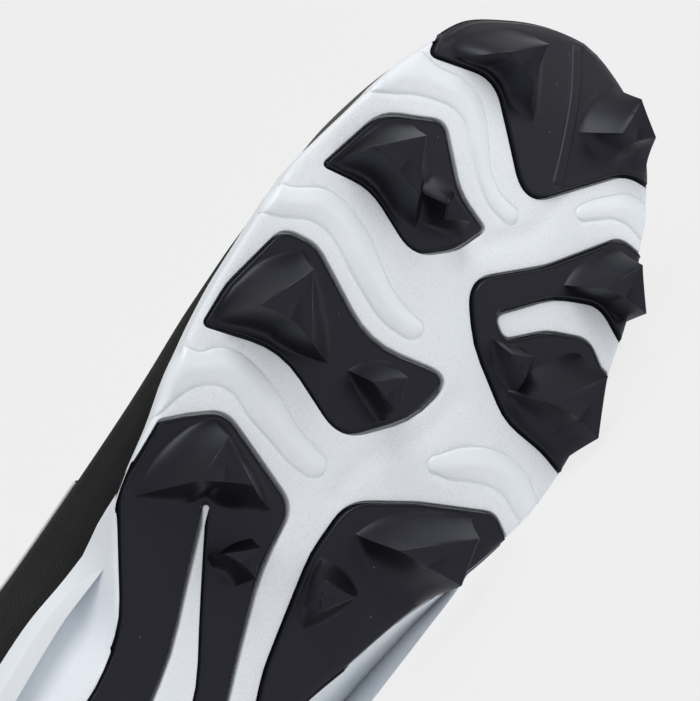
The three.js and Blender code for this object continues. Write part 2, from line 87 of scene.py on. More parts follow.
def finish_of(name, **inputs):
    """A material with a shader of those values, and the tree that holds both."""
    material = bpy.data.materials.new(name)
    material.use_nodes = True
    tree = material.node_tree
    tree.nodes.clear()
    shader = add(tree, "ShaderNodeBsdfPrincipled", {key.replace("_", " "): inputs[key] for key in inputs})
    add(tree, "ShaderNodeOutputMaterial", {"Surface": shader.outputs[0]})
    return material, tree, shader


# The camera, the light and the floor.
# The camera keeps the photo's angle to the shoe, rolled, and stands over the floor. One wide soft light comes
# from past the toe, as the lit faces of the studs show, with a weak one from the heel's side to fill.

CAMERA_AT = Vector((-145.5, -298.3, -775.3))
CAMERA_RIGHT = Vector((0.48406, 0.73163, -0.48))
CAMERA_UP = Vector((0.78992, -0.60136, -0.12))
CAMERA_BACK = Vector((-0.37645, -0.32107, -0.86902))
BALL = Vector((201, 0, 0))
LENS = 201.06
SENSOR = 36

camera_axes = LIE_TURN.to_matrix() @ Matrix((CAMERA_RIGHT, CAMERA_UP, CAMERA_BACK)).transposed()
camera_data = bpy.data.cameras.new("camera")
camera_data.lens = LENS
camera_data.sensor_width = SENSOR
camera_data.clip_start = 0.01
camera_data.clip_end = 20
camera = bpy.data.objects.new("camera", camera_data)
camera.matrix_world = Matrix.Translation(lying @ CAMERA_AT) @ camera_axes.to_4x4()
bpy.context.scene.collection.objects.link(camera)
bpy.context.scene.camera = camera
bpy.context.scene.view_settings.view_transform = "Standard"

# Each light: metres to the right, up and back of the ball of the foot, as the camera sees it, then its
# width and its watts
LIGHTS = {
    "key": (-0.15, 1.4, 0.5, 0.9, 11),
    "fill": (-1.0, 0.1, 1.2, 1.2, 2.2),
    "rim": (0.9, 0.6, -0.2, 0.9, 2.5),
}
for name, (right, up, back, width, watts) in LIGHTS.items():
    lamp = bpy.data.lights.new(name, "AREA")
    lamp.shape = "DISK"
    lamp.size = width
    lamp.energy = watts
    light = bpy.data.objects.new(name, lamp)
    aim = camera_axes @ Vector((right, up, back))
    light.location = lying @ BALL + aim
    light.rotation_euler = aim.to_track_quat("Z", "Y").to_euler()
    bpy.context.scene.collection.objects.link(light)

STUDIO_STRENGTH = 0.58
world = bpy.data.worlds.new("studio")
bpy.context.scene.world = world
world.use_nodes = True
world.node_tree.nodes["Background"].inputs["Color"].default_value = colour("#EFEFEF")
world.node_tree.nodes["Background"].inputs["Strength"].default_value = STUDIO_STRENGTH

FLOOR_SIZE = 8
FLOOR_GLOW = 0.93
floor_paper, _, shader = finish_of("matt_paper", Base_Color=colour("#4A4A4A"), Roughness=1.0)
shader.inputs["Specular IOR Level"].default_value = 0.0
shader.inputs["Emission Color"].default_value = colour("#EFEFEF")
shader.inputs["Emission Strength"].default_value = FLOOR_GLOW
floor_mesh = bmesh.new()
bmesh.ops.create_grid(floor_mesh, x_segments=2, y_segments=2, size=FLOOR_SIZE)
floor_data = bpy.data.meshes.new("floor")
floor_mesh.to_mesh(floor_data)
floor_mesh.free()
floor_data.materials.append(floor_paper)
floor = bpy.data.objects.new("floor", floor_data)
bpy.context.scene.collection.objects.link(floor)

# The last.
# The upper, the plate's wall, the insole and the tongue all follow the last's form. Its sections are given
# from heel to toe, in shares of the length, of the ball's width and of the instep's height.

LENGTH = 300
BALL_WIDTH = 96.5
INSTEP = 92
COLLAR = 72
TOE_SPRING = 16
SPRING_START = 205
ARCH_RISE = 3
ARCH_START = 55
ARCH_END = 165
HEEL_LEAN = 6
HEEL_LEAN_REACH = 60
PLATE = 5
GAP = 0.3
FORM_BASE = PLATE + GAP

# at, lateral, medial, crest, widest, top, then the powers of the lateral and medial underside and of the top
SECTIONS = (
    (0.005, -0.062, 0.021, -0.021, 0.239, 1.217, 3, 3, 2.2),
    (0.01, -0.124, 0.083, -0.021, 0.239, 1.217, 3, 3, 2.2),
    (0.023, -0.207, 0.161, -0.021, 0.25, 1.228, 3, 3, 2.2),
    (0.05, -0.285, 0.244, -0.021, 0.261, 1.239, 3, 3, 2.2),
    (0.1, -0.332, 0.295, -0.021, 0.283, 1.25, 3.2, 3, 2.2),
    (0.183, -0.342, 0.316, -0.01, 0.326, 1.239, 3.4, 3, 2.2),
    (0.267, -0.347, 0.346, -0.01, 0.41, 1.207, 4, 2.8, 2.3),
    (0.333, -0.352, 0.4, 0.0, 0.5, 1.087, 4.4, 2.8, 2.1),
    (0.383, -0.345, 0.427, 0.0, 0.52, 0.99, 4.4, 2.8, 1.8),
    (0.443, -0.363, 0.437, 0.01, 0.46, 0.88, 4.2, 3, 1.75),
    (0.5, -0.394, 0.442, 0.01, 0.35, 0.8, 4.2, 3.6, 1.75),
    (0.56, -0.43, 0.451, 0.01, 0.217, 0.724, 5, 5, 1.8),
    (0.617, -0.448, 0.472, 0.01, 0.174, 0.661, 5, 5, 1.8),
    (0.667, -0.45, 0.483, 0.021, 0.163, 0.612, 5, 5, 1.8),
    (0.717, -0.444, 0.483, 0.021, 0.152, 0.575, 5, 5, 1.8),
    (0.773, -0.424, 0.466, 0.031, 0.141, 0.533, 5, 5, 1.8),
    (0.833, -0.379, 0.43, 0.041, 0.141, 0.489, 5, 5, 1.9),
    (0.883, -0.324, 0.387, 0.052, 0.141, 0.446, 4.6, 4.6, 2),
    (0.933, -0.244, 0.32, 0.062, 0.136, 0.375, 4.2, 4.2, 2.1),
    (0.963, -0.14, 0.262, 0.062, 0.13, 0.31, 3.6, 3.6, 2.2),
    (0.983, -0.05, 0.187, 0.067, 0.13, 0.245, 3, 3, 2.2),
    (0.994, 0.025, 0.108, 0.067, 0.13, 0.19, 2.6, 2.6, 2.2),
)
HEEL_END = SECTIONS[0][0] * LENGTH
TOE_END = SECTIONS[-1][0] * LENGTH


def read(rows, column, x):
    """Smooth values of a table's column, with slopes that never overshoot a row."""
    at = np.array([row[0] for row in rows], float)
    value = np.array([row[column] for row in rows], float)
    share = np.clip(np.asarray(x, float) / LENGTH, at[0], at[-1])
    step = np.diff(value) / np.diff(at)
    both = step[:-1] * step[1:] > 0
    total = np.where(both, step[:-1] + step[1:], 1)
    inner = np.where(both, 2 * step[:-1] * step[1:] / total, 0)
    slope = np.concatenate([step[:1], inner, step[-1:]])
    i = np.clip(np.searchsorted(at, share, side="right") - 1, 0, len(at) - 2)
    span = at[i + 1] - at[i]
    t = (share - at[i]) / span
    rise = t * t * (3 - 2 * t)
    level = value[i] * (1 - rise) + value[i + 1] * rise
    return level + span * (slope[i] * t * (1 - t) ** 2 - slope[i + 1] * t * t * (1 - t))


def ground(x):
    """How far the sole's face is off the ground, from the arch and the toe spring."""
    spring = np.maximum(0, (x - SPRING_START) / (LENGTH - SPRING_START))
    arch = np.clip((x - ARCH_START) / (ARCH_END - ARCH_START), 0, 1)
    return TOE_SPRING * spring**2 + ARCH_RISE * np.sin(np.pi * arch) ** 2


def placed(points):
    """Gives points the heel's lean, the arch and the toe spring."""
    x, y, z = np.moveaxis(np.asarray(points, float), -1, 0)
    lean = HEEL_LEAN * (z / COLLAR) ** 2 * np.maximum(0, 1 - x / HEEL_LEAN_REACH)
    return np.stack([x + lean, y, z + ground(x)], -1)


def quarter(half, tall, power, count):
    """Evenly spaced points of a quarter of a section, from its side up or down to its middle."""
    turn = np.linspace(0, math.pi / 2, 300)
    y = half * np.cos(turn) ** (2 / power)
    z = tall * np.sin(turn) ** (2 / power)
    run = np.concatenate([[0], np.cumsum(np.hypot(np.diff(y), np.diff(z)))])
    at = np.linspace(0, run[-1], count + 1)
    return np.interp(at, run, y), np.interp(at, run, z)


def section(x, low_count, high_count):
    """One closed section of the last, from under its middle by the medial side, the crest, the lateral side."""
    row = [float(read(SECTIONS, column, x)) for column in range(1, 9)]
    lateral, medial, crest = [value * BALL_WIDTH for value in row[:3]]
    widest, top = [value * INSTEP for value in row[3:5]]
    under_lateral, under_medial, over = row[5:]
    parts = []
    for half, power in ((medial - crest, under_medial), (lateral - crest, under_lateral)):
        y, z = quarter(half, FORM_BASE - widest, power, low_count)
        low = np.stack([crest + y, widest + z], -1)
        y, z = quarter(half, top - widest, over, high_count)
        high = np.stack([crest + y, widest + z], -1)
        parts.append(np.concatenate([low[::-1], high[1:]]))
    around = np.concatenate([parts[0], parts[1][::-1][1:]])
    return np.concatenate([np.full((len(around), 1), x), around], 1)


def last_grid(stations, low_count, high_count, offset=0.0):
    """The last's surface as rows of points, moved out by an offset and zipped up at the heel and the toe."""
    share = (1 - np.cos(np.linspace(0, np.pi, stations))) / 2
    rows = np.array([section(x, low_count, high_count) for x in HEEL_END + (TOE_END - HEEL_END) * share])
    out = outward(rows)
    amount = np.asarray(offset(rows) if callable(offset) else offset)
    rows = rows + out * amount[..., None]
    shift = np.broadcast_to(amount, rows.shape[:2])
    rows[0, :, 0] = HEEL_END - shift[0]
    rows[-1, :, 0] = TOE_END + shift[-1]
    rows[..., 0] = np.clip(rows[..., 0], HEEL_END - shift, TOE_END + shift)
    ends = []
    for ring, bulge in ((rows[0], -0.5), (rows[-1], 1.2)):
        middle = (ring[:, 1].max() + ring[:, 1].min()) / 2
        closing = []
        for width in (0.8, 0.5, 0.0):
            shrunk = ring.copy()
            shrunk[:, 1] = middle + (ring[:, 1] - middle) * width
            shrunk[:, 0] += bulge * (1 - width**2)
            closing.append(shrunk)
        ends.append(closing)
    return np.concatenate([ends[0][::-1], rows, ends[1]])


def outward(rows):
    """The outward directions of a grid of points that closes on itself across its rows."""
    along = np.gradient(rows, axis=0)
    wrapped = np.concatenate([rows[:, -2:-1], rows, rows[:, 1:2]], 1)
    around = (wrapped[:, 2:] - wrapped[:, :-2]) / 2
    normal = np.cross(around, along)
    size = np.linalg.norm(normal, axis=-1, keepdims=True)
    return normal / np.maximum(size, 1e-9)


def top_height(x, y, offset=0.0):
    """The height of the last's top over a place in plan."""
    lateral, medial, crest = [read(SECTIONS, column, x) * BALL_WIDTH for column in (1, 2, 3)]
    widest, top = [read(SECTIONS, column, x) * INSTEP for column in (4, 5)]
    over = read(SECTIONS, 8, x)
    half = np.where(y > crest, medial - crest, crest - lateral) + offset
    share = np.clip(np.abs(y - crest) / half, 0, 1)
    return widest + (top - widest + offset) * (1 - share**over) ** (1 / over) + ground(x)


def draped(points, across=None):
    """A grid of faces over rows and columns of points, with a map in millimetres where one is given."""
    rows, columns = points.shape[:2]
    bm = bmesh.new()
    bmesh.ops.create_grid(bm, x_segments=columns - 1, y_segments=rows - 1, size=1)
    for vert, point in zip(bm.verts, points.reshape(-1, 3)):
        vert.co = point
    if across is not None:
        flat = across.reshape(-1, 2)
        layer = bm.loops.layers.uv.new("cloth")
        bm.verts.index_update()
        for face in bm.faces:
            for loop in face.loops:
                loop[layer].uv = flat[loop.vert.index]
    return bm


def cloth_map(points):
    """How far along and around the shoe each point of a grid lies, the latter measured from the crest."""
    run = np.linalg.norm(np.diff(points, axis=1), axis=-1)
    around = np.concatenate([np.zeros((len(points), 1)), np.cumsum(run, 1)], 1)
    crest = around[:, points.shape[1] // 2]
    return np.stack([points[..., 0], around - crest[:, None]], -1)


def cut(bm, field):
    """Cuts a mesh where a field of its points is zero, and takes off the side where it is above."""
    verts = list(bm.verts)
    level = dict(zip(verts, field(np.array([vert.co for vert in verts]))))
    fresh = set()
    for edge in list(bm.edges):
        one, other = edge.verts
        if (level[one] > 0) != (level[other] > 0):
            share = level[one] / (level[one] - level[other])
            _, vert = bmesh.utils.edge_split(edge, one, min(0.97, max(0.03, share)))
            fresh.add(vert)
    for vert in fresh:
        level[vert] = 0
    for face in list(bm.faces):
        ends = [vert for vert in face.verts if vert in fresh]
        if len(ends) == 2 and not bm.edges.get(ends):
            bmesh.utils.face_split(face, ends[0], ends[1])
    beyond = [face for face in bm.faces if sum(level[vert] for vert in face.verts) > 0]
    bmesh.ops.delete(bm, geom=beyond, context="FACES")


# The upper.
# A knitted black upper, lasted under all round and closed by the sole. It is one hollow sock with a wall of
# 2 mm, open at the collar and down the throat, with six holes for the lace on each side.

UPPER_WALL = 2.0
LASTING_MARGIN = 12
THROAT_BACK = 98
THROAT_FRONT = 202
THROAT_HALF_BACK = 17
THROAT_HALF_FRONT = 9
LACE_REACH = 9
LACE_PAIRS = 6
FIRST_LACE = 118
LAST_LACE = 190
EYELET = 2.1
OVER_INSTEP = 30
COLLAR_LINE = (
    (0.0, 1.0),
    (0.04, 0.979),
    (0.073, 0.917),
    (0.117, 0.833),
    (0.173, 0.785),
    (0.233, 0.819),
    (0.28, 0.931),
    (0.317, 1.097),
    (0.347, 1.264),
)


def throat_half(x):
    """Half of the throat's width."""
    share = (x - (THROAT_BACK - THROAT_HALF_BACK)) / (THROAT_FRONT - (THROAT_BACK - THROAT_HALF_BACK))
    return THROAT_HALF_BACK + (THROAT_HALF_FRONT - THROAT_HALF_BACK) * share


def opening(points, inset=0.0):
    """Above zero where the upper is open at the collar or the throat."""
    x, y, z = points.T
    collar = np.minimum(z - read(COLLAR_LINE, 1, x) * COLLAR, THROAT_BACK + 6 - x)
    end = np.minimum(x, THROAT_FRONT - THROAT_HALF_FRONT)
    slot = throat_half(end) - np.hypot(y, x - end)
    slot = np.where((z > OVER_INSTEP) & (x > THROAT_BACK - THROAT_HALF_BACK), slot, -50)
    blend = 5
    together = np.logaddexp(collar / blend, slot / blend) * blend
    return np.where(np.maximum(collar, slot) < -30, np.maximum(collar, slot), together) - 2 - inset


def eyelet_places():
    """The plan of each hole for the lace."""
    at = np.linspace(LAST_LACE, FIRST_LACE, LACE_PAIRS)
    share = (at - THROAT_BACK) / (THROAT_FRONT - THROAT_BACK)
    half = THROAT_HALF_BACK + (THROAT_HALF_FRONT - THROAT_HALF_BACK) * share + LACE_REACH
    return [(x, side * reach) for x, reach in zip(at, half) for side in (-1, 1)]


def eyelets(points, size=EYELET):
    """Above zero inside a hole for the lace."""
    x, y, z = points.T
    level = np.full(len(x), -50.0)
    for at, across in eyelet_places():
        level = np.maximum(level, size - np.hypot(x - at, y - across))
    return np.where(z > OVER_INSTEP, level, -50)


def crease(x, at, width, depth):
    """A soft trough across the shoe."""
    return -depth * np.exp(-(((x - at) / width) ** 2))


def upper_relief(rows):
    """Folds over the toe's joint and fine wrinkles beside them, along the surface."""
    x, y, z = np.moveaxis(rows, -1, 0)
    top = np.clip((z - 18) / 22, 0, 1)
    side = np.abs(y) / BALL_WIDTH
    fold = crease(x + 22 * side, 232, 4.5, 0.9) + crease(x + 30 * side, 220, 4, 0.7)
    fold = fold + crease(x - 12 * side, 208, 5, 0.5)
    wrinkle = 0.25 * np.sin(x / 3.1 + y / 9) * np.exp(-(((x - 222) / 18) ** 2))
    return top * (fold + wrinkle)


knit, tree, shader = finish_of("knitted_polyester", Base_Color=colour("#141416"), Roughness=0.82)
shader.inputs["Specular IOR Level"].default_value = 0.15
shader.inputs["Sheen Weight"].default_value = 0.03
shader.inputs["Sheen Roughness"].default_value = 0.4
# Courses of V-shaped loops, 1.3 mm wide and 1.1 mm high, coarser than the real ones so that they show
LOOP_WIDTH = 1.3
LOOP_HEIGHT = 1.1
cloth = add(tree, "ShaderNodeUVMap", uv_map="cloth").outputs[0]
split = add(tree, "ShaderNodeSeparateXYZ", {"Vector": cloth})
column = add(tree, "ShaderNodeMath", {0: split.outputs["Y"], 1: LOOP_WIDTH}, operation="DIVIDE")
ribs = add(tree, "ShaderNodeMath", {0: column.outputs[0], 1: 1.0}, operation="PINGPONG")
slant = add(tree, "ShaderNodeMath", {0: ribs.outputs[0], 1: 0.9}, operation="MULTIPLY")
course = add(tree, "ShaderNodeMath", {0: split.outputs["X"], 1: LOOP_HEIGHT}, operation="DIVIDE")
climb = add(tree, "ShaderNodeMath", {0: course.outputs[0], 1: slant.outputs[0]}, operation="ADD")
stitch = add(tree, "ShaderNodeMath", {0: climb.outputs[0], 1: 0.5}, operation="PINGPONG")
mottle = add(tree, "ShaderNodeTexNoise", {"Vector": cloth, "Scale": 0.16, "Detail": 3.0})
depth = add(tree, "ShaderNodeMath", {0: stitch.outputs[0], 1: mottle.outputs["Fac"]}, operation="MULTIPLY")
bump = add(tree, "ShaderNodeBump", {"Height": depth.outputs[0], "Strength": 0.7, "Distance": 0.0006})
tree.links.new(bump.outputs[0], shader.inputs["Normal"])
# Painted shade and mottle: the colour follows the loops' height, darker in the low grooves between them where
# shade falls, and darker or lighter at random with the mottle
shade = add(tree, "ShaderNodeValToRGB", {"Fac": depth.outputs[0]})
shade.color_ramp.elements[0].position = 0.02
shade.color_ramp.elements[0].color = colour("#0A0A0B")
shade.color_ramp.elements[1].position = 0.35
shade.color_ramp.elements[1].color = colour("#1D1D20")
tree.links.new(shade.outputs[0], shader.inputs["Base Color"])

lining, tree, shader = finish_of("brushed_lining", Base_Color=colour("#1D1D20"), Roughness=0.95)
place = add(tree, "ShaderNodeTexCoord").outputs["Object"]
fluff = add(tree, "ShaderNodeTexNoise", {"Vector": place, "Scale": 1500.0, "Detail": 2.0})
bump = add(tree, "ShaderNodeBump", {"Height": fluff.outputs["Fac"], "Strength": 0.3, "Distance": 0.0003})
tree.links.new(bump.outputs[0], shader.inputs["Normal"])


def shell_mesh(offset, field):
    """A sheet of cloth on the last, trimmed by a field."""
    points = last_grid(210, 34, 44, offset)
    bm = draped(placed(points), cloth_map(points))
    cut(bm, field)
    bmesh.ops.remove_doubles(bm, verts=bm.verts, dist=0.02)
    middle = np.array([v.co for v in bm.verts]).mean(0)
    if sum((face.calc_center_median() - Vector(middle)).dot(face.normal) for face in bm.faces) < 0:
        bmesh.ops.reverse_faces(bm, faces=bm.faces)
    bm.normal_update()
    return bm


def shell(bm, name, materials, wall, side=-1):
    """Gives a sheet its wall."""
    piece = finished(bm, name, materials)
    thick = piece.modifiers.new("wall", "SOLIDIFY")
    thick.thickness = wall / 1000
    thick.offset = side
    thick.use_even_offset = True
    thick.material_offset = len(materials) - 1
    return piece


def plan_gap(points):
    """Above zero in the gap that the lasted edge leaves under the foot."""
    x, y, z = points.T
    inside = -distance(points[:, :2], sole_outline)
    low = FORM_BASE + UPPER_WALL + 1 + ground(x) - z
    return np.minimum(np.minimum(inside - LASTING_MARGIN, low), np.minimum(x - 12, LENGTH - 12 - x))


def distance(points, line, closed=True):
    """How far flat points are from a line, below zero inside a closed one."""
    start = line if closed else line[:-1]
    end = np.roll(line, -1, 0) if closed else line[1:]
    result = np.empty(len(points))
    for low in range(0, len(points), 4000):
        block = points[low : low + 4000, None]
        way = end - start
        t = ((block - start) * way).sum(-1) / np.maximum((way**2).sum(-1), 1e-12)
        near = np.linalg.norm(block - start - np.clip(t, 0, 1)[..., None] * way, axis=-1).min(1)
        if closed:
            over = (start[:, 1] > block[..., 1]) != (end[:, 1] > block[..., 1])
            rise = np.where(way[:, 1] == 0, 1e-12, way[:, 1])
            crossing = start[:, 0] + (block[..., 1] - start[:, 1]) * way[:, 0] / rise
            inside = (over & (block[..., 0] < crossing)).sum(1) % 2 == 1
            near = np.where(inside, -near, near)
        result[low : low + 4000] = near
    return result


# The edge of the sole: at, lateral, medial
SOLE_EDGE = (
    (0.0, -0.073, 0.01),
    (0.005, -0.145, 0.093),
    (0.017, -0.228, 0.187),
    (0.05, -0.321, 0.28),
    (0.1, -0.352, 0.311),
    (0.167, -0.342, 0.301),
    (0.233, -0.28, 0.249),
    (0.283, -0.228, 0.218),
    (0.333, -0.228, 0.218),
    (0.383, -0.321, 0.244),
    (0.433, -0.409, 0.29),
    (0.5, -0.446, 0.355),
    (0.55, -0.474, 0.425),
    (0.583, -0.487, 0.46),
    (0.617, -0.492, 0.487),
    (0.667, -0.492, 0.508),
    (0.717, -0.487, 0.508),
    (0.767, -0.456, 0.492),
    (0.8, -0.43, 0.477),
    (0.833, -0.404, 0.456),
    (0.867, -0.368, 0.425),
    (0.9, -0.321, 0.394),
    (0.933, -0.269, 0.358),
    (0.967, -0.155, 0.29),
    (0.987, -0.062, 0.207),
    (0.997, 0.01, 0.128),
    (1.0, 0.041, 0.088),
)
EDGE_STATIONS = 150
edge_x = LENGTH * (1 - np.cos(np.linspace(0, np.pi, EDGE_STATIONS + 1))) / 2
lateral_edge = np.stack([edge_x, read(SOLE_EDGE, 1, edge_x) * BALL_WIDTH], -1)
medial_edge = np.stack([edge_x, read(SOLE_EDGE, 2, edge_x) * BALL_WIDTH], -1)
sole_outline = np.concatenate([lateral_edge, medial_edge[::-1]])


def upper_field(points):
    """Above zero wherever the upper is open."""
    return np.maximum(np.maximum(opening(points), eyelets(points)), plan_gap(points))


upper_mesh = shell_mesh(upper_relief, upper_field)


def swept(path, across, half_width, half_height, around=12, power=2.0, closed=False):
    """A cord or a ribbon along a path, mapped in millimetres, its ends closed."""
    path = np.asarray(path, float)
    ahead = np.roll(path, -1, 0) - np.roll(path, 1, 0) if closed else np.gradient(path, axis=0)
    ahead = ahead / np.linalg.norm(ahead, axis=1, keepdims=True)
    wide = np.broadcast_to(np.asarray(across, float), path.shape)
    wide = wide - (wide * ahead).sum(1, keepdims=True) * ahead
    wide = wide / np.linalg.norm(wide, axis=1, keepdims=True)
    high = np.cross(ahead, wide)
    turn = np.linspace(0, 2 * math.pi, around + 1)
    cos, sin = np.cos(turn), np.sin(turn)
    u = (np.sign(cos) * np.abs(cos) ** (2 / power))[None, :, None]
    v = (np.sign(sin) * np.abs(sin) ** (2 / power))[None, :, None]
    widths = np.broadcast_to(half_width, len(path))[:, None, None]
    heights = np.broadcast_to(half_height, len(path))[:, None, None]
    grid = path[:, None] + wide[:, None] * u * widths + high[:, None] * v * heights
    if closed:
        grid = np.concatenate([grid, grid[:1]])
    else:
        ends = [np.repeat(path[k][None, None], around + 1, 1) for k in (0, -1)]
        grid = np.concatenate([ends[0], grid, ends[1]])
    middle = grid.mean(1)
    run = np.concatenate([[0], np.cumsum(np.linalg.norm(np.diff(middle, axis=0), axis=1))])
    girth = np.linspace(0, 4 * float(np.mean(half_width)), around + 1)
    bm = draped(grid, np.stack(np.broadcast_arrays(run[:, None], girth[None]), -1))
    bmesh.ops.remove_doubles(bm, verts=bm.verts, dist=0.005)
    bmesh.ops.recalc_face_normals(bm, faces=bm.faces)
    return bm


def join(bm, other):
    """Adds one mesh to another."""
    held = bpy.data.meshes.new("held")
    other.to_mesh(held)
    other.free()
    bm.from_mesh(held)
    bpy.data.meshes.remove(held)
    return bm


def eased(path, passes, closed=False):
    """A path with its corners eased."""
    for _ in range(passes):
        soft = (np.roll(path, 1, 0) + 2 * path + np.roll(path, -1, 0)) / 4
        path = soft if closed else np.concatenate([path[:1], soft[1:-1], path[-1:]])
    return path


def mouth(bm):
    """The rim of the collar and the throat, in the middle of the wall, one point after the other."""
    rim = [edge for edge in bm.edges if len(edge.link_faces) == 1]
    spots = np.array([(edge.verts[0].co + edge.verts[1].co) / 2 for edge in rim])
    chosen = {edge for edge, level in zip(rim, np.abs(opening(spots))) if level < 1.5}
    start = next(iter(chosen))
    vert, loop = start.verts[0], [start.verts[0]]
    edge = start
    while True:
        vert = edge.other_vert(vert)
        if vert == loop[0]:
            break
        loop.append(vert)
        ways = [way for way in vert.link_edges if way in chosen and way != edge]
        if not ways:
            break
        edge = ways[0]
    return np.array([vert.co - vert.normal * UPPER_WALL / 2 for vert in loop])


# A roll of soft lining binds the collar, and runs on thinner round the throat
COLLAR_ROLL = 2.9
THROAT_ROLL = 1.25
rim_path = eased(mouth(upper_mesh), 12, True)
rim_x = rim_path[:, 0]
roll = COLLAR_ROLL + (THROAT_ROLL - COLLAR_ROLL) * np.clip((rim_x - 62) / 32, 0, 1) ** 1.5
binding_mesh = swept(rim_path, (0, 0, 1) + 0 * rim_path, roll, roll * 0.95, 14, 2.0, True)

upper = shell(upper_mesh, "upper_knit", [knit, lining], UPPER_WALL)
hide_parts("upper")
binding = finished(binding_mesh, "collar_binding", [lining])

# The upper's overlays.
# Thin films fused to the knit: one that carries the holes for the lace and comes down the lateral side to a
# white piping, one round the toe and one round the heel. Rows of stitches run along the throat.

FILM = 0.5
STAY_WIDTH = 12.5
STAY_FRONT = 207
STAY_BACK = 101
# Where the lateral stay ends below: x and height
PIPING = ((141, 46.9), (131, 52.3), (119, 58), (107, 62.5), (99, 65.5), (91, 68.5))


def stay_field(points):
    """Above zero on the film round the throat."""
    x, y, z = points.T
    ends = np.minimum(x - STAY_BACK, STAY_FRONT - x)
    stay = np.minimum(STAY_WIDTH + opening(points) + 2, ends)
    line_x, line_z = np.array(PIPING[::-1], float).T
    low = np.minimum(z - np.interp(x, line_x, line_z), PIPING[0][0] + 0.5 * (z - PIPING[0][1]) - x)
    lateral = np.where((y < 0) & (x > PIPING[-1][0]), low, -50)
    return np.where(z > OVER_INSTEP, np.maximum(stay, lateral), -50)


def toe_field(points):
    """Above zero on the film round the toe."""
    x, y, z = points.T
    edge = 9 + 8 * np.clip((x - 165) / 80, 0, 1) ** 1.4 + 7 * np.clip((x - 268) / 28, 0, 1) ** 2
    return np.minimum(edge - (z - ground(x)), x - 165)


def heel_field(points):
    """Above zero on the film round the heel."""
    x, y, z = points.T
    return np.minimum(47 - 0.3 * x - z, 76 - x - 0.35 * z)


film, tree, shader = finish_of("fused_film", Base_Color=colour("#19191C"), Roughness=0.5)
place = add(tree, "ShaderNodeTexCoord").outputs["Object"]
pits = add(tree, "ShaderNodeTexVoronoi", {"Vector": place, "Scale": 900.0})
bump = add(tree, "ShaderNodeBump", {"Height": pits.outputs["Distance"], "Strength": 0.25, "Distance": 0.0002})
tree.links.new(bump.outputs[0], shader.inputs["Normal"])

for name, field in (("throat_stay", stay_field), ("toe_film", toe_field), ("heel_film", heel_field)):
    sheet = shell_mesh(upper_relief, lambda points: np.maximum(upper_field(points), -field(points)))
    piece = shell(sheet, name, [film], FILM, 1)


def on_last(x, y, offset):
    """Points on the last's top over a plan, in the standing shoe."""
    x, y = np.broadcast_arrays(np.asarray(x, float), np.asarray(y, float))
    return placed(np.stack([x, y, top_height(x, y, offset) - ground(x)], -1))


def beside_throat(side, apart):
    """A line along one side of the throat, that far from its edge."""
    x = np.linspace(STAY_BACK + 3, THROAT_FRONT - THROAT_HALF_FRONT, 120)
    return on_last(x, side * (throat_half(x) + apart), FILM)


STITCH = 1.9
STITCH_GAP = 0.9
STITCH_LINES = (1.8, 3.0)
thread, tree, shader = finish_of("polyester_thread", Base_Color=colour("#3A3A40"), Roughness=0.6)
seam_mesh = bmesh.new()
for side in (-1, 1):
    for apart in STITCH_LINES:
        line = beside_throat(side, apart)
        run = np.concatenate([[0], np.cumsum(np.linalg.norm(np.diff(line, axis=0), axis=1))])
        starts = np.arange(0.5, run[-1] - STITCH, STITCH + STITCH_GAP)
        for start in starts:
            at = start + STITCH * np.linspace(0, 1, 5)
            bead = np.stack([np.interp(at, run, line[:, k]) for k in range(3)], -1)
            bead[:, 2] += (0.25 * np.sin(np.linspace(0, np.pi, 5))) - 0.1
            join(seam_mesh, swept(bead, (0, 1, 0), (0.12, 0.25, 0.28, 0.25, 0.12), 0.24, 6))
seams = finished(seam_mesh, "throat_stitches", [thread])


def wall_side(x, height, column):
    """The outer side of the upper at a height, on the lateral (1) or medial (2) side."""
    edge = read(SECTIONS, column, x) * BALL_WIDTH
    units = ((3, BALL_WIDTH), (4, INSTEP), (5, INSTEP))
    crest, widest, top = [read(SECTIONS, k, x) * unit for k, unit in units]
    low = height < widest
    reach = np.where(low, widest - FORM_BASE, top - widest)
    power = np.where(low, read(SECTIONS, 5 + column, x), read(SECTIONS, 8, x))
    share = np.minimum(1, np.abs(height - widest) / reach)
    return crest + (edge - crest) * (1 - share**power) ** (1 / power)


PIPING_HALF = 0.42
trim, tree, shader = finish_of("white_piping", Base_Color=colour("#DDE2E8"), Roughness=0.5)
pipe_x = np.linspace(PIPING[0][0], PIPING[-1][0], 60)
pipe_z = np.interp(pipe_x, *np.array(PIPING[::-1], float).T)
pipe_line = eased(np.stack([pipe_x, pipe_z], -1), 12)

pipe_y = wall_side(pipe_line[:, 0], pipe_line[:, 1] - ground(pipe_line[:, 0]), 1) - 0.35
pipe_path = np.stack([pipe_line[:, 0], pipe_y, pipe_line[:, 1]], -1)
piping = finished(swept(pipe_path, (0, 0, 1), PIPING_HALF, PIPING_HALF, 10), "lateral_piping", [trim])

# The tongue.
# A padded tongue under the lace, thick along its middle and thin under the edges of the throat, with a soft
# channel across it between one crossing of the lace and the next.

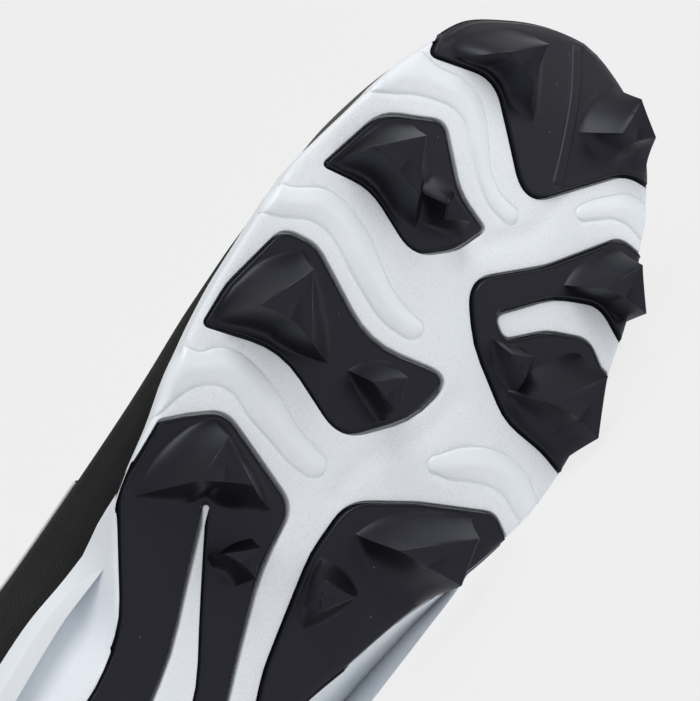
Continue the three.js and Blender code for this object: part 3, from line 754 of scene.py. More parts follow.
TONGUE_BACK = 86
TONGUE_FRONT = 214
TONGUE_HALF = 22
TONGUE_ROUND = 10
TONGUE_DEPTH = 3
LINING_DEPTH = 2.3
TONGUE_ROWS = 130
tongue_turn = np.linspace(0.03, np.pi - 0.03, TONGUE_ROWS)
tongue_x = TONGUE_BACK + (TONGUE_FRONT - TONGUE_BACK) * (1 - np.cos(tongue_turn)) / 2
from_end = np.minimum(tongue_x - TONGUE_BACK, TONGUE_FRONT - tongue_x)
corner = np.clip(TONGUE_ROUND - from_end, 0, TONGUE_ROUND)
tongue_half = TONGUE_HALF - TONGUE_ROUND + np.sqrt(TONGUE_ROUND**2 - corner**2)
fullness = np.sqrt(1 - (1 - np.clip(from_end / 1.6, 0.02, 1)) ** 2)
turn = np.linspace(0, 2 * math.pi, 61)
aside = np.sign(np.cos(turn)) * np.abs(np.cos(turn)) ** 0.45
raised = np.sign(np.sin(turn)) * np.abs(np.sin(turn)) ** 0.4
plan_y = tongue_half[:, None] * aside[None]
plan_x = np.broadcast_to(tongue_x[:, None], plan_y.shape)
thin = np.clip((np.abs(plan_y) / throat_half(plan_x) - 0.42) / 0.5, 0, 1)
outer = -LINING_DEPTH - 1.9 * thin * thin * (3 - 2 * thin)
for between in np.linspace(LAST_LACE, FIRST_LACE, LACE_PAIRS):
    outer = outer - 0.55 * np.exp(-(((plan_x - between) / 1.7) ** 2)) * (1 - thin)
inner = np.full_like(outer, -LINING_DEPTH - TONGUE_DEPTH)
depth_share = (1 + raised[None] * fullness[:, None]) / 2
tongue_points = on_last(plan_x, plan_y, inner + (outer - inner) * depth_share)
tongue_mesh = draped(tongue_points, np.stack([plan_x, plan_y], -1))
for face in tongue_mesh.faces:
    face.material_index = 0 if face.normal.z > -0.2 else 1
bmesh.ops.remove_doubles(tongue_mesh, verts=tongue_mesh.verts, dist=0.01)
holes = [edge for edge in tongue_mesh.edges if len(edge.link_faces) == 1]
bmesh.ops.holes_fill(tongue_mesh, edges=holes)
bmesh.ops.recalc_face_normals(tongue_mesh, faces=tongue_mesh.faces)
for face in tongue_mesh.faces:
    face.material_index = 0 if face.normal.z > -0.2 else 1
tongue = finished(tongue_mesh, "padded_tongue", [knit, lining])
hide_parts("tongue")

# The laces.
# One flat lace, 6 mm wide. A bar lies across the front pair of holes, and its ends go down through them.
# Each end then crosses over the tongue, goes under the other edge of the throat and up through the next hole.
# Both stop in the last holes.

LACE_HALF = 3.0
LACE_THICK = 0.8
LACE_OVER = 1.4
LACE_UNDER = -3.05
LACE_SQUEEZED = 1.6


def lace_half(side):
    """Half of the lace from the middle of the bar: its path, and half its width and thickness along it."""
    own = side
    at = np.linspace(LAST_LACE, FIRST_LACE, LACE_PAIRS)
    wide, slim = (LACE_HALF, LACE_THICK), (LACE_SQUEEZED, 1.0)
    knots = [(at[0], 0, LACE_OVER, *wide)]
    for i, x in enumerate(at):
        hole = side * (THROAT_HALF_BACK + (THROAT_HALF_FRONT - THROAT_HALF_BACK)
                       * (x - THROAT_BACK) / (THROAT_FRONT - THROAT_BACK) + LACE_REACH)
        first, last = (LACE_OVER, LACE_UNDER) if i == 0 else (LACE_UNDER, LACE_OVER)
        dip = 0.5 if first > last else -0.5
        knots += [(x, hole - side * 4.5, first, *wide), (x, hole - side * 1.4, first, 2.2, 0.9),
                  (x, hole, first - dip * 1.6, *slim), (x, hole, (first + last) / 2, *slim)]
        if i == LACE_PAIRS - 1:
            knots += [(x, hole, last - 0.4, *slim), (x, hole, last + 0.2, *slim)]
            break
        knots += [(x, hole, last + dip * 1.6, *slim), (x, hole - side * 1.4, last, 2.2, 0.9),
                  (x, hole - side * 4.5, last, *wide)]
        following = at[i + 1]
        edge = throat_half(x)
        next_edge = throat_half(following)
        level = 0.35 if own * (-1) ** i > 0 else 2.15
        start_y, end_y = hole - side * 4.5, -side * (next_edge + LACE_REACH - 4.5)
        for y, offset in ((side * edge, last if i else LACE_UNDER + 0.1),
                          (side * 2.5, level), (-side * 2.5, level),
                          (-side * next_edge, LACE_UNDER + 0.1)):
            share = (y - start_y) / (end_y - start_y)
            knots.append((x + (following - x) * share, y, offset, *wide))
        side = -side
    dense = []
    for one, other in zip(knots, knots[1:]):
        one, other = np.array(one), np.array(other)
        steps = max(1, round(np.linalg.norm((other - one)[:3]) / 0.7))
        dense += [one + (other - one) * k / steps for k in range(steps)]
    dense = eased(np.array(dense + [np.array(knots[-1])]), 5)
    return on_last(dense[:, 0], dense[:, 1], dense[:, 2]), dense[:, 3], dense[:, 4]


webbing, tree, shader = finish_of("woven_lace", Base_Color=colour("#17171A"), Roughness=0.75)
cloth = add(tree, "ShaderNodeUVMap", uv_map="cloth").outputs[0]
split = add(tree, "ShaderNodeSeparateXYZ", {"Vector": cloth})
ply = add(tree, "ShaderNodeMath", {0: split.outputs["Y"], 1: 0.75}, operation="PINGPONG")
slope = add(tree, "ShaderNodeMath", {0: split.outputs["X"], 1: ply.outputs[0]}, operation="ADD")
yarn = add(tree, "ShaderNodeMath", {0: slope.outputs[0], 1: 0.45}, operation="PINGPONG")
bump = add(tree, "ShaderNodeBump", {"Height": yarn.outputs[0], "Strength": 0.6, "Distance": 0.0005})
tree.links.new(bump.outputs[0], shader.inputs["Normal"])
# Painted shade: the lace is darker in the low lines between its yarns, following the same height as the bump
shade = add(tree, "ShaderNodeValToRGB", {"Fac": yarn.outputs[0]})
shade.color_ramp.elements[0].color = colour("#0F0F11")
shade.color_ramp.elements[1].position = 0.4
shade.color_ramp.elements[1].color = colour("#2A2A2F")
tree.links.new(shade.outputs[0], shader.inputs["Base Color"])

lace_mesh = bmesh.new()
for side in (-1, 1):
    lace_path, lace_width, lace_height = lace_half(side)
    join(lace_mesh, swept(lace_path, (1, 0, 0), lace_width, lace_height, 16, 3.2))
laces = finished(lace_mesh, "flat_laces", [webbing])
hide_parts("laces")

# The insole.
# A foam insole with a cloth top, dished a little, that lies on the lasted upper.

INSOLE_LOW = 7.6
INSOLE_DEPTH = 4
INSOLE_ROWS = 110
INSOLE_DISH = 0.9
insole_x = HEEL_END + LINING_DEPTH + (TOE_END - HEEL_END - 2 * LINING_DEPTH) * (
    1 - np.cos(np.linspace(0.02, np.pi - 0.02, INSOLE_ROWS))) / 2
turn = np.linspace(0, 2 * math.pi, 65)
across_share = np.sign(np.cos(turn)) * np.abs(np.cos(turn)) ** 0.3
height_share = (1 + np.sign(np.sin(turn)) * np.abs(np.sin(turn)) ** 0.3) / 2
rows_y, rows_z = [], []
for share, up in zip(across_share, height_share):
    level = INSOLE_LOW + INSOLE_DEPTH * up
    low_side = wall_side(insole_x, level, 1) + LINING_DEPTH + 0.2
    high_side = wall_side(insole_x, level, 2) - LINING_DEPTH - 0.2
    middle = (low_side + high_side) / 2
    rows_y.append(middle + np.maximum(high_side - low_side, 0.2) / 2 * share)
    rows_z.append(level - INSOLE_DISH * up * (1 - share**4) + 0 * insole_x)
rows_x = np.broadcast_to(insole_x, (65, INSOLE_ROWS))
insole_points = np.stack([rows_x, rows_y, rows_z], -1).transpose(1, 0, 2)
insole_mesh = draped(placed(insole_points), insole_points[..., :2])
bmesh.ops.remove_doubles(insole_mesh, verts=insole_mesh.verts, dist=0.01)
bmesh.ops.holes_fill(insole_mesh, edges=[edge for edge in insole_mesh.edges if len(edge.link_faces) == 1])
bmesh.ops.recalc_face_normals(insole_mesh, faces=insole_mesh.faces)
for face in insole_mesh.faces:
    face.material_index = 1 if face.normal.z > 0.5 else 0

foam, tree, shader = finish_of("moulded_foam", Base_Color=colour("#8D9298"), Roughness=0.9)
place = add(tree, "ShaderNodeTexCoord").outputs["Object"]
bubbles = add(tree, "ShaderNodeTexNoise", {"Vector": place, "Scale": 1200.0, "Detail": 2.0})
bump = add(tree, "ShaderNodeBump", {"Height": bubbles.outputs["Fac"], "Strength": 0.4, "Distance": 0.0003})
tree.links.new(bump.outputs[0], shader.inputs["Normal"])
sock, tree, shader = finish_of("insole_cloth", Base_Color=colour("#2E3136"), Roughness=0.9)
cloth = add(tree, "ShaderNodeUVMap", uv_map="cloth").outputs[0]
weave = add(tree, "ShaderNodeTexVoronoi", {"Vector": cloth, "Scale": 1.1})
bump = add(tree, "ShaderNodeBump", {"Height": weave.outputs["Distance"], "Strength": 0.5, "Distance": 0.0004})
tree.links.new(bump.outputs[0], shader.inputs["Normal"])
insole = finished(insole_mesh, "foam_insole", [foam, sock])
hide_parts("insole")

# The sole plate.
# A white moulded tray under the whole shoe, with a side wall that climbs at the heel and the waist. Smooth
# bands flow between the rubber pods, edged by a fine step, and the rest has a leathery moulded grain.

WALL_HEIGHT = 28
PLATE_WALL = 1.6
EDGE_ROUND = 1.2
WALL_TOP = (
    (0.0, 0.89, 0.89),
    (0.067, 0.86, 0.86),
    (0.167, 0.8, 0.78),
    (0.267, 0.78, 0.78),
    (0.317, 0.74, 0.8),
    (0.36, 0.67, 0.82),
    (0.4, 0.6, 0.82),
    (0.42, 0.38, 0.81),
    (0.437, 0.18, 0.8),
    (0.483, 0.21, 0.7),
    (0.527, 0.28, 0.56),
    (0.573, 0.27, 0.42),
    (0.633, 0.3, 0.32),
    (0.833, 0.29, 0.3),
    (0.917, 0.32, 0.32),
    (0.967, 0.39, 0.39),
    (1.0, 0.43, 0.43),
)
# Corners of each pod: at, across, and the fillet in millimetres
POD_CORNERS = {
    "toe_pod": (
        (0.881, -0.326, 1.5),
        (0.928, -0.311, 14),
        (1.0, -0.093, 40),
        (1.01, 0.124, 25),
        (0.99, 0.321, 14),
        (0.927, 0.415, 1.2),
        (0.922, 0.295, 12),
        (0.831, 0.078, 7),
        (0.907, -0.14, 9),
    ),
    "lateral_front_pod": (
        (0.74, -0.425, 1),
        (0.81, -0.363, 14),
        (0.843, -0.207, 4),
        (0.8, -0.083, 14),
        (0.79, 0.021, 1.5),
        (0.761, -0.016, 16),
        (0.73, -0.109, 9),
        (0.752, -0.29, 16),
    ),
    "lateral_ball_pod": (
        (0.575, -0.466, 1.2),
        (0.613, -0.468, 20),
        (0.678, -0.425, 6),
        (0.685, -0.332, 8),
        (0.65, -0.093, 22),
        (0.672, 0.137, 4.5),
        (0.627, 0.112, 30),
        (0.573, -0.026, 10),
        (0.6, -0.269, 22),
    ),
    "medial_ball_pod": (
        (0.868, 0.477, 1.5),
        (0.867, 0.352, 6),
        (0.8, 0.207, 40),
        (0.745, 0.044, 8),
        (0.705, 0.14, 25),
        (0.672, 0.311, 16),
        (0.672, 0.435, 20),
        (0.665, 0.539, 1.2),
        (0.759, 0.539, 1.2),
        (0.761, 0.462, 1.5),
        (0.774, 0.399, 6),
        (0.755, 0.29, 16),
        (0.724, 0.202, 3),
        (0.735, 0.145, 3),
        (0.783, 0.264, 22),
        (0.805, 0.383, 8),
        (0.791, 0.477, 1.5),
        (0.789, 0.518, 1.2),
    ),
    "medial_waist_pod": (
        (0.606, 0.409, 4),
        (0.59, 0.5, 2.5),
        (0.527, 0.405, 40),
        (0.4, 0.262, 80),
        (0.323, 0.202, 2),
        (0.393, 0.122, 40),
        (0.487, 0.062, 30),
        (0.537, 0.07, 12),
        (0.573, 0.228, 30),
    ),
    "waist_heel_pod": (
        (0.495, -0.427, 1.5),
        (0.512, -0.378, 3),
        (0.533, -0.306, 7),
        (0.507, -0.037, 7),
        (0.453, -0.02, 40),
        (0.358, 0.085, 60),
        (0.267, 0.161, 30),
        (0.167, 0.275, 40),
        (0.06, 0.285, 16),
        (0.023, 0.176, 9),
        (0.023, 0.052, 2.5),
        (0.267, 0.052, 40),
        (0.344, 0.02, 40),
        (0.474, -0.231, 0.5),
        (0.36, -0.093, 60),
        (0.267, -0.052, 40),
        (0.023, -0.052, 2.5),
        (0.02, -0.228, 9),
        (0.06, -0.321, 16),
        (0.167, -0.326, 40),
        (0.283, -0.205, 30),
        (0.347, -0.218, 30),
        (0.433, -0.413, 16),
    ),
}


def rounded(corners, fineness=0.16):
    """A closed outline with each corner turned by its own fillet."""
    points = []
    count = len(corners)
    for i, (*corner, fillet) in enumerate(corners):
        here = np.array(corner)
        back = np.array(corners[i - 1][:2]) - here
        ahead = np.array(corners[(i + 1) % count][:2]) - here
        back_run, ahead_run = np.linalg.norm(back), np.linalg.norm(ahead)
        half = math.acos(back @ ahead / (back_run * ahead_run)) / 2
        reach = min(fillet / math.tan(half), 0.48 * min(back_run, ahead_run))
        start = here + back / back_run * reach
        end = here + ahead / ahead_run * reach
        steps = max(2, round((math.pi - 2 * half) / fineness))
        t = np.linspace(0, 1, steps + 1)[:, None]
        points.append(start * (1 - t) ** 2 + here * 2 * t * (1 - t) + end * t * t)
    return np.concatenate(points)


def spaced(line, step, closed=True):
    """A line with its points an even step apart, its corners kept."""
    ends = np.roll(line, -1, 0) if closed else line[1:]
    points = []
    for one, other in zip(line, ends):
        steps = max(1, round(np.linalg.norm(other - one) / step))
        share = np.linspace(0, 1, steps, endpoint=False)[:, None]
        points.append(one + (other - one) * share)
    if not closed:
        points.append(line[-1:])
    return np.concatenate(points)


def grown(line, amount):
    """A closed outline moved outwards."""
    area = (line[:, 0] * np.roll(line[:, 1], -1) - line[:, 1] * np.roll(line[:, 0], -1)).sum()
    way = np.roll(line, -1, 0) - np.roll(line, 1, 0)
    normal = np.stack([way[:, 1], -way[:, 0]], -1) * np.sign(area)
    return line + amount * normal / np.maximum(np.linalg.norm(normal, axis=1, keepdims=True), 1e-9)


pod_outlines = {
    name: rounded([(at * LENGTH, across * BALL_WIDTH, fillet) for at, across, fillet in corners])
    for name, corners in POD_CORNERS.items()
}


def patchwork(loops, lines, step, keep):
    """A flat mesh with edges along its loops and lines and an even spread of points between them."""
    everything = [(line, True) for line in loops] + [(line, False) for line in lines]
    low = np.min([line.min(0) for line, _ in everything], 0)
    high = np.max([line.max(0) for line, _ in everything], 0)
    x, y = np.meshgrid(np.arange(low[0], high[0], step), np.arange(low[1], high[1], step * 0.87))
    x[1::2] += step / 2
    spread = np.stack([x.ravel(), y.ravel()], -1)
    near = np.min([np.abs(distance(spread, line, closed)) for line, closed in everything], 0)
    spread = spread[near > step * 0.55]
    points = [spread]
    edges = []
    start = len(spread)
    for line, closed in everything:
        count = len(line)
        last = count if closed else count - 1
        edges += [(start + i, start + (i + 1) % count) for i in range(last)]
        points.append(line)
        start += count
    points = np.concatenate(points)
    corners, _, faces, _, _, _ = delaunay_2d_cdt([Vector(point) for point in points], edges, [], 0, 1e-4)
    corners = np.array(corners)
    kept = keep(np.array([corners[list(face)].mean(0) for face in faces]))
    bm = bmesh.new()
    verts = [bm.verts.new((corner[0], corner[1], 0)) for corner in corners]
    for face, stays in zip(faces, kept):
        if stays:
            bm.faces.new([verts[i] for i in face])
    bmesh.ops.delete(bm, geom=[vert for vert in bm.verts if not vert.link_faces], context="VERTS")
    return bm


# The smooth bands, each as its two sides from the sole's edge inwards, in millimetres
BANDS = {
    "toe_band": (
        ((264, -36), (263.5, -28), (265.7, -20), (264.7, -14.7), (261, -10.7), (255, -6.7), (249.7, -2.7),
         (247.3, 1.3), (246.9, 6)),
        ((243, -43), (249.7, -34), (252.3, -30.7), (255.3, -25.3), (257.1, -20), (256.5, -16), (251, -10.5),
         (245.5, -5), (242.6, 0), (241.9, 5)),
    ),
    "front_band": (
        ((210, -52), (212.5, -45), (217.7, -37.3), (218.5, -32), (217.5, -26.7), (215.7, -22), (212.3, -16.7),
         (209, -10.7), (207.5, -5.3), (207.3, -1)),
        ((201, -52), (205, -43), (209.3, -36), (209.7, -32), (208.3, -27.3), (205.7, -22), (203, -15.3),
         (201.1, -8.7), (201.4, -3)),
    ),
    "ball_band": (
        ((172, -54), (166, -47.5), (167.1, -42.1), (170.4, -39.3), (172.9, -35), (173.2, -30.7), (172.3, -25),
         (170.4, -19.3), (167.9, -13.6), (166.9, -8.6), (166.2, -4.2)),
        ((147, -54), (148.6, -42.5), (153.6, -41.1), (157.1, -40), (160.7, -37.9), (163.4, -34.3),
         (164.1, -30), (162.5, -25.7), (160.6, -16), (159.6, -10.7), (159.6, -6.4)),
    ),
    "medial_front_band": (
        ((272.6, 42), (272.9, 34), (271.3, 30), (268.3, 27.3), (263.7, 23.3), (260.3, 21)),
        ((261, 46), (264, 38), (264.5, 34), (263, 30), (259.3, 26), (257, 23.6)),
    ),
    "medial_waist_band": (
        ((189, 54), (191.4, 46.8), (194.4, 42.1), (195.2, 36.4), (193.6, 30), (189.6, 24.3), (184.3, 20)),
        ((183, 54), (185, 43.6), (186.6, 39.3), (186.3, 35), (183.9, 30), (181, 25), (179.9, 21.5)),
    ),
}
BAND_STEP = 0.3
BAND_BEVEL = 0.8
BAND_SWELL = 0.65
BAND_LINE = 0.34


def flowing(points, step=0.9):
    """A smooth open line through points, with an even step."""
    points = np.array(points, float)
    run = np.concatenate([[0], np.cumsum(np.linalg.norm(np.diff(points, axis=0), axis=1))])
    slope = np.gradient(points, run, axis=0)
    at = np.linspace(0, run[-1], max(2, round(run[-1] / step)) + 1)
    i = np.clip(np.searchsorted(run, at, side="right") - 1, 0, len(run) - 2)
    span = (run[i + 1] - run[i])[:, None]
    t = (at - run[i])[:, None] / span
    level = points[i] * (1 - t) ** 2 * (1 + 2 * t) + points[i + 1] * t * t * (3 - 2 * t)
    return level + span * (slope[i] * t * (1 - t) ** 2 - slope[i + 1] * t * t * (1 - t))


def band_outline(sides):
    """A band's closed outline, round at its inner end."""
    one, other = [flowing(side) for side in sides]
    tip = (one[-1] + other[-1]) / 2
    ahead = (one[-1] - one[-3]) + (other[-1] - other[-3])
    ahead = ahead / np.linalg.norm(ahead) * np.linalg.norm(one[-1] - other[-1]) * 0.5
    turn = np.linspace(0, math.pi, 10)[1:-1, None]
    cap = tip + (one[-1] - tip) * np.cos(turn) + ahead * np.sin(turn)
    return np.concatenate([one, cap, other[::-1]])


band_outlines = {name: band_outline(sides) for name, sides in BANDS.items()}
CENTRE_TROUGHS = (
    ((258, 14.5), (247.7, 14), (240.3, 9.3), (235.7, 5.3), (229.7, 1.3), (224, -0.5)),
    ((198, 17), (184.3, 13.6), (176.4, 7.9), (169.3, 5), (160, 3.4)),
)
TROUGH_DEPTH = 0.5
TROUGH_WIDTH = 2.6


def smooth_step(value, low, high):
    """Nought under low, one over high, and a soft rise between."""
    t = np.clip((value - low) / (high - low), 0, 1)
    return t * t * (3 - 2 * t)


def edge_roll(plan, radius):
    """How far the sole's face has turned up towards its rounded edge."""
    inside = np.clip(-distance(plan, sole_outline), 0, radius)
    return radius - np.sqrt(np.maximum(0, radius**2 - (radius - inside) ** 2))


def plate_relief(plan):
    """How far the plate's bands stand out (below zero) and its troughs go in, in plan."""
    height = np.zeros(len(plan))
    for outline in band_outlines.values():
        depth = -distance(plan, outline)
        height = height - BAND_STEP * smooth_step(depth, 0, BAND_BEVEL)
        height = height - BAND_SWELL * smooth_step(depth, BAND_BEVEL, 4.5)
        height = height + BAND_LINE * np.exp(-((depth / 0.26) ** 2))
    for trough in CENTRE_TROUGHS:
        line = flowing(trough)
        height = height + TROUGH_DEPTH * np.exp(-((distance(plan, line, False) / TROUGH_WIDTH) ** 2))
    return height


def plate_face(plan):
    """The height of the white plate's face in plan. Down is out, as the shoe stands."""
    return ground(plan[:, 0]) + edge_roll(plan, EDGE_ROUND) + plate_relief(plan)


RECESS_GAP = 0.35
RECESS_DEPTH = 2.4
PLATE_GRID = 1.15
recesses = [spaced(grown(outline, RECESS_GAP), 0.8) for outline in pod_outlines.values()]
rims = [grown(recess, 0.3) for recess in recesses]


def on_plate(centres):
    """Which faces of the flat patchwork belong to the plate."""
    inside = distance(centres, sole_outline) < 0
    for rim in rims:
        inside &= distance(centres, rim) > 0
    return inside


loops = [sole_outline, grown(sole_outline, -0.55), grown(sole_outline, -EDGE_ROUND)] + rims
for outline in band_outlines.values():
    loops += [outline, grown(outline, 0.35), grown(outline, -0.35), grown(outline, -BAND_BEVEL)]
plate_mesh = patchwork(loops, [], PLATE_GRID, on_plate)


def raise_to(bm, height):
    """Sets each vertex of a flat mesh to its height."""
    plan = np.array([vert.co[:2] for vert in bm.verts])
    for vert, level in zip(bm.verts, height(plan)):
        vert.co.z = level


raise_to(plate_mesh, plate_face)
grain_slot = 1
flat_centres = np.array([face.calc_center_median()[:2] for face in plate_mesh.faces])
in_band = np.zeros(len(flat_centres), bool)
for outline in band_outlines.values():
    in_band |= distance(flat_centres, outline) < 0
for face, smooth_face in zip(plate_mesh.faces, in_band):
    face.material_index = 0 if smooth_face else grain_slot


def skirted(bm, edges, rows, material=None, other_rows=None, others=()):
    """Pulls a border outwards and up, row after row; the verts of others go by their own rows."""
    others = set(others)
    for row, other_row in zip(rows, other_rows or rows):
        directions = {}
        for edge in edges:
            face = edge.link_faces[0]
            a, b = edge.verts
            middle = (a.co + b.co) / 2
            away = middle - face.calc_center_median()
            way = (b.co - a.co).to_2d()
            normal = Vector((way.y, -way.x))
            if normal.dot(away.to_2d()) < 0:
                normal.negate()
            for vert in edge.verts:
                directions[vert] = directions.get(vert, Vector((0, 0))) + normal
        slots = [edge.link_faces[0].material_index for edge in edges]
        made = bmesh.ops.extrude_edge_only(bm, edges=edges)["geom"]
        fresh = [item for item in made if isinstance(item, bmesh.types.BMEdge)]
        sides = [item for item in made if isinstance(item, bmesh.types.BMFace)]
        outer = [edge for edge in fresh if len(edge.link_faces) == 1]
        moved = {vert for edge in outer for vert in edge.verts}
        for vert in moved:
            below = [edge.other_vert(vert) for edge in vert.link_edges if edge.other_vert(vert) in directions]
            way = directions[below[0]].normalized()
            out, up = other_row if below[0] in others else row
            if below[0] in others:
                others.add(vert)
            vert.co.x += way.x * out
            vert.co.y += way.y * out
            vert.co.z += up
        for face in sides:
            face.material_index = slots[0] if material is None else material
        edges = outer


RECESS_ROWS = ((0.14, 0.04), (0.1, 0.12), (0.04, 0.3), (0.06, RECESS_DEPTH - 0.46), (0.8, 0.1))
border = [edge for edge in plate_mesh.edges if len(edge.link_faces) == 1]
near_sole = distance(np.array([((e.verts[0].co + e.verts[1].co) / 2)[:2] for e in border]), sole_outline)
recess_edges = [edge for edge, far in zip(border, near_sole) if abs(far) > 0.05]
skirted(plate_mesh, recess_edges, RECESS_ROWS, grain_slot)

moulded_white, tree, shader = finish_of("moulded_polyamide", Base_Color=colour("#E4ECF3"), Roughness=0.36)
place = add(tree, "ShaderNodeTexCoord").outputs["Object"]
cloud = add(tree, "ShaderNodeTexNoise", {"Vector": place, "Scale": 60.0, "Detail": 3.0})
tint = add(tree, "ShaderNodeValToRGB", {"Fac": cloud.outputs["Fac"]})
tint.color_ramp.elements[0].color = colour("#E4EAF1")
tint.color_ramp.elements[1].color = colour("#F0F4F8")
tree.links.new(tint.outputs[0], shader.inputs["Base Color"])
ripple = add(tree, "ShaderNodeTexNoise", {"Vector": place, "Scale": 500.0, "Detail": 2.0})
bump = add(tree, "ShaderNodeBump", {"Height": ripple.outputs["Fac"], "Strength": 0.06, "Distance": 0.0004})
tree.links.new(bump.outputs[0], shader.inputs["Normal"])

# A spark-eroded leather grain, its cells 0.7 mm across, left by the mould
GRAIN_CELL = 0.0007
grained_white, tree, shader = finish_of("grained_polyamide", Base_Color=colour("#E1E8EF"), Roughness=0.5)
place = add(tree, "ShaderNodeTexCoord").outputs["Object"]
sway = add(tree, "ShaderNodeTexNoise", {"Vector": place, "Scale": 900.0, "Detail": 2.0})
shift = add(tree, "ShaderNodeVectorMath", {0: sway.outputs["Color"], 1: (0.0006, 0.0006, 0.0006)},
            operation="MULTIPLY")
bent = add(tree, "ShaderNodeVectorMath", {0: place, 1: shift.outputs[0]}, operation="ADD")
cells = add(tree, "ShaderNodeTexVoronoi", {"Vector": bent.outputs[0], "Scale": 1 / GRAIN_CELL},
            feature="DISTANCE_TO_EDGE")
pebble = add(tree, "ShaderNodeMath", {0: cells.outputs["Distance"], 1: 0.25}, operation="MINIMUM")
bump = add(tree, "ShaderNodeBump", {"Height": pebble.outputs[0], "Strength": 0.22, "Distance": 0.0004})
tree.links.new(bump.outputs[0], shader.inputs["Normal"])
# Painted shade: the white is darker along the crevices between the grain's cells
painted_crevice_shade = add(tree, "ShaderNodeValToRGB", {"Fac": pebble.outputs[0]})
painted_crevice_shade.color_ramp.elements[0].color = colour("#DFE5EB")
painted_crevice_shade.color_ramp.elements[1].position = 0.1
painted_crevice_shade.color_ramp.elements[1].color = colour("#ECF0F5")
tree.links.new(painted_crevice_shade.outputs[0], shader.inputs["Base Color"])


def wall_rows(column, count):
    """Rows of points up the plate's side wall, over its rim and down the inside."""
    inwards = 1 if column == 1 else -1
    edge = read(SOLE_EDGE, column, edge_x) * BALL_WIDTH
    top = read(WALL_TOP, column, edge_x) * WALL_HEIGHT

    def out(z):
        return wall_side(edge_x, z, column) - inwards * (GAP + PLATE_WALL)

    def least(a, b):
        return np.minimum(a, b) if inwards > 0 else np.maximum(a, b)

    rim = least(out(top), edge + inwards * EDGE_ROUND)
    swell = np.minimum(0, plate_relief(np.stack([edge_x, edge], -1)))
    rows = [np.stack([edge_x, edge, EDGE_ROUND + swell], -1)]
    for k in range(1, count + 1):
        share = k / count
        z = EDGE_ROUND + swell * (1 - share) ** 2 + (top - EDGE_ROUND) * share
        straight = edge + (rim - edge) * share + inwards * SCALLOP * swell * math.sqrt(share) * (1 - share)
        rows.append(np.stack([edge_x, least(straight, out(z)), z], -1))
    inside = ((0.35, top + 0.3), (0.85, top + 0.4), (1.3, top + 0.15), (1.5, np.maximum(top - 1, PLATE)),
              (1.7, np.full_like(top, PLATE - 0.3)))
    for inset, z in inside:
        rows.append(np.stack([edge_x, rows[count][:, 1] + inwards * inset, z], -1))
    return placed(np.array(rows))


WALL_ROWS = 10
SCALLOP = 2.4
lateral_wall = wall_rows(1, WALL_ROWS)
medial_wall = wall_rows(2, WALL_ROWS)
round_wall = np.concatenate([lateral_wall, medial_wall[:, ::-1]], 1)
round_wall = np.concatenate([round_wall, round_wall[:, :1]], 1)
wall_mesh = draped(round_wall)
for face in wall_mesh.faces:
    face.material_index = 0
join(plate_mesh, wall_mesh)
bmesh.ops.remove_doubles(plate_mesh, verts=plate_mesh.verts, dist=0.03)
bmesh.ops.recalc_face_normals(plate_mesh, faces=plate_mesh.faces)
plate = finished(plate_mesh, "sole_plate_shell", [moulded_white, grained_white], 36)
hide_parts("sole_plate")

# The rubber pods.
# Six pieces of black moulded rubber set in the plate, each with its studs. A pod has a rounded rim, and lies
# a little under or over the white face. Its studs have flat three-cornered tips and scooped backs.

POD_FACE = {
    "toe_pod": -0.8,
    "lateral_front_pod": 0.4,
    "lateral_ball_pod": 0.4,
    "medial_ball_pod": -0.8,
    "medial_waist_pod": -0.8,
    "waist_heel_pod": 0.4,
}
# How far each pod turns up at the sole's edge, and how far it then climbs
POD_ROLL = {
    "toe_pod": 2.2,
    "lateral_front_pod": 1.0,
    "lateral_ball_pod": 1.0,
    "medial_ball_pod": 1.8,
    "medial_waist_pod": 1.8,
    "waist_heel_pod": 0.7,
}
# How near a stud's foot may come to its pod's border
FOOT_GAP = 0.45
STUD_HEIGHT = 12
SMALL_STUD_HEIGHT = 6.5
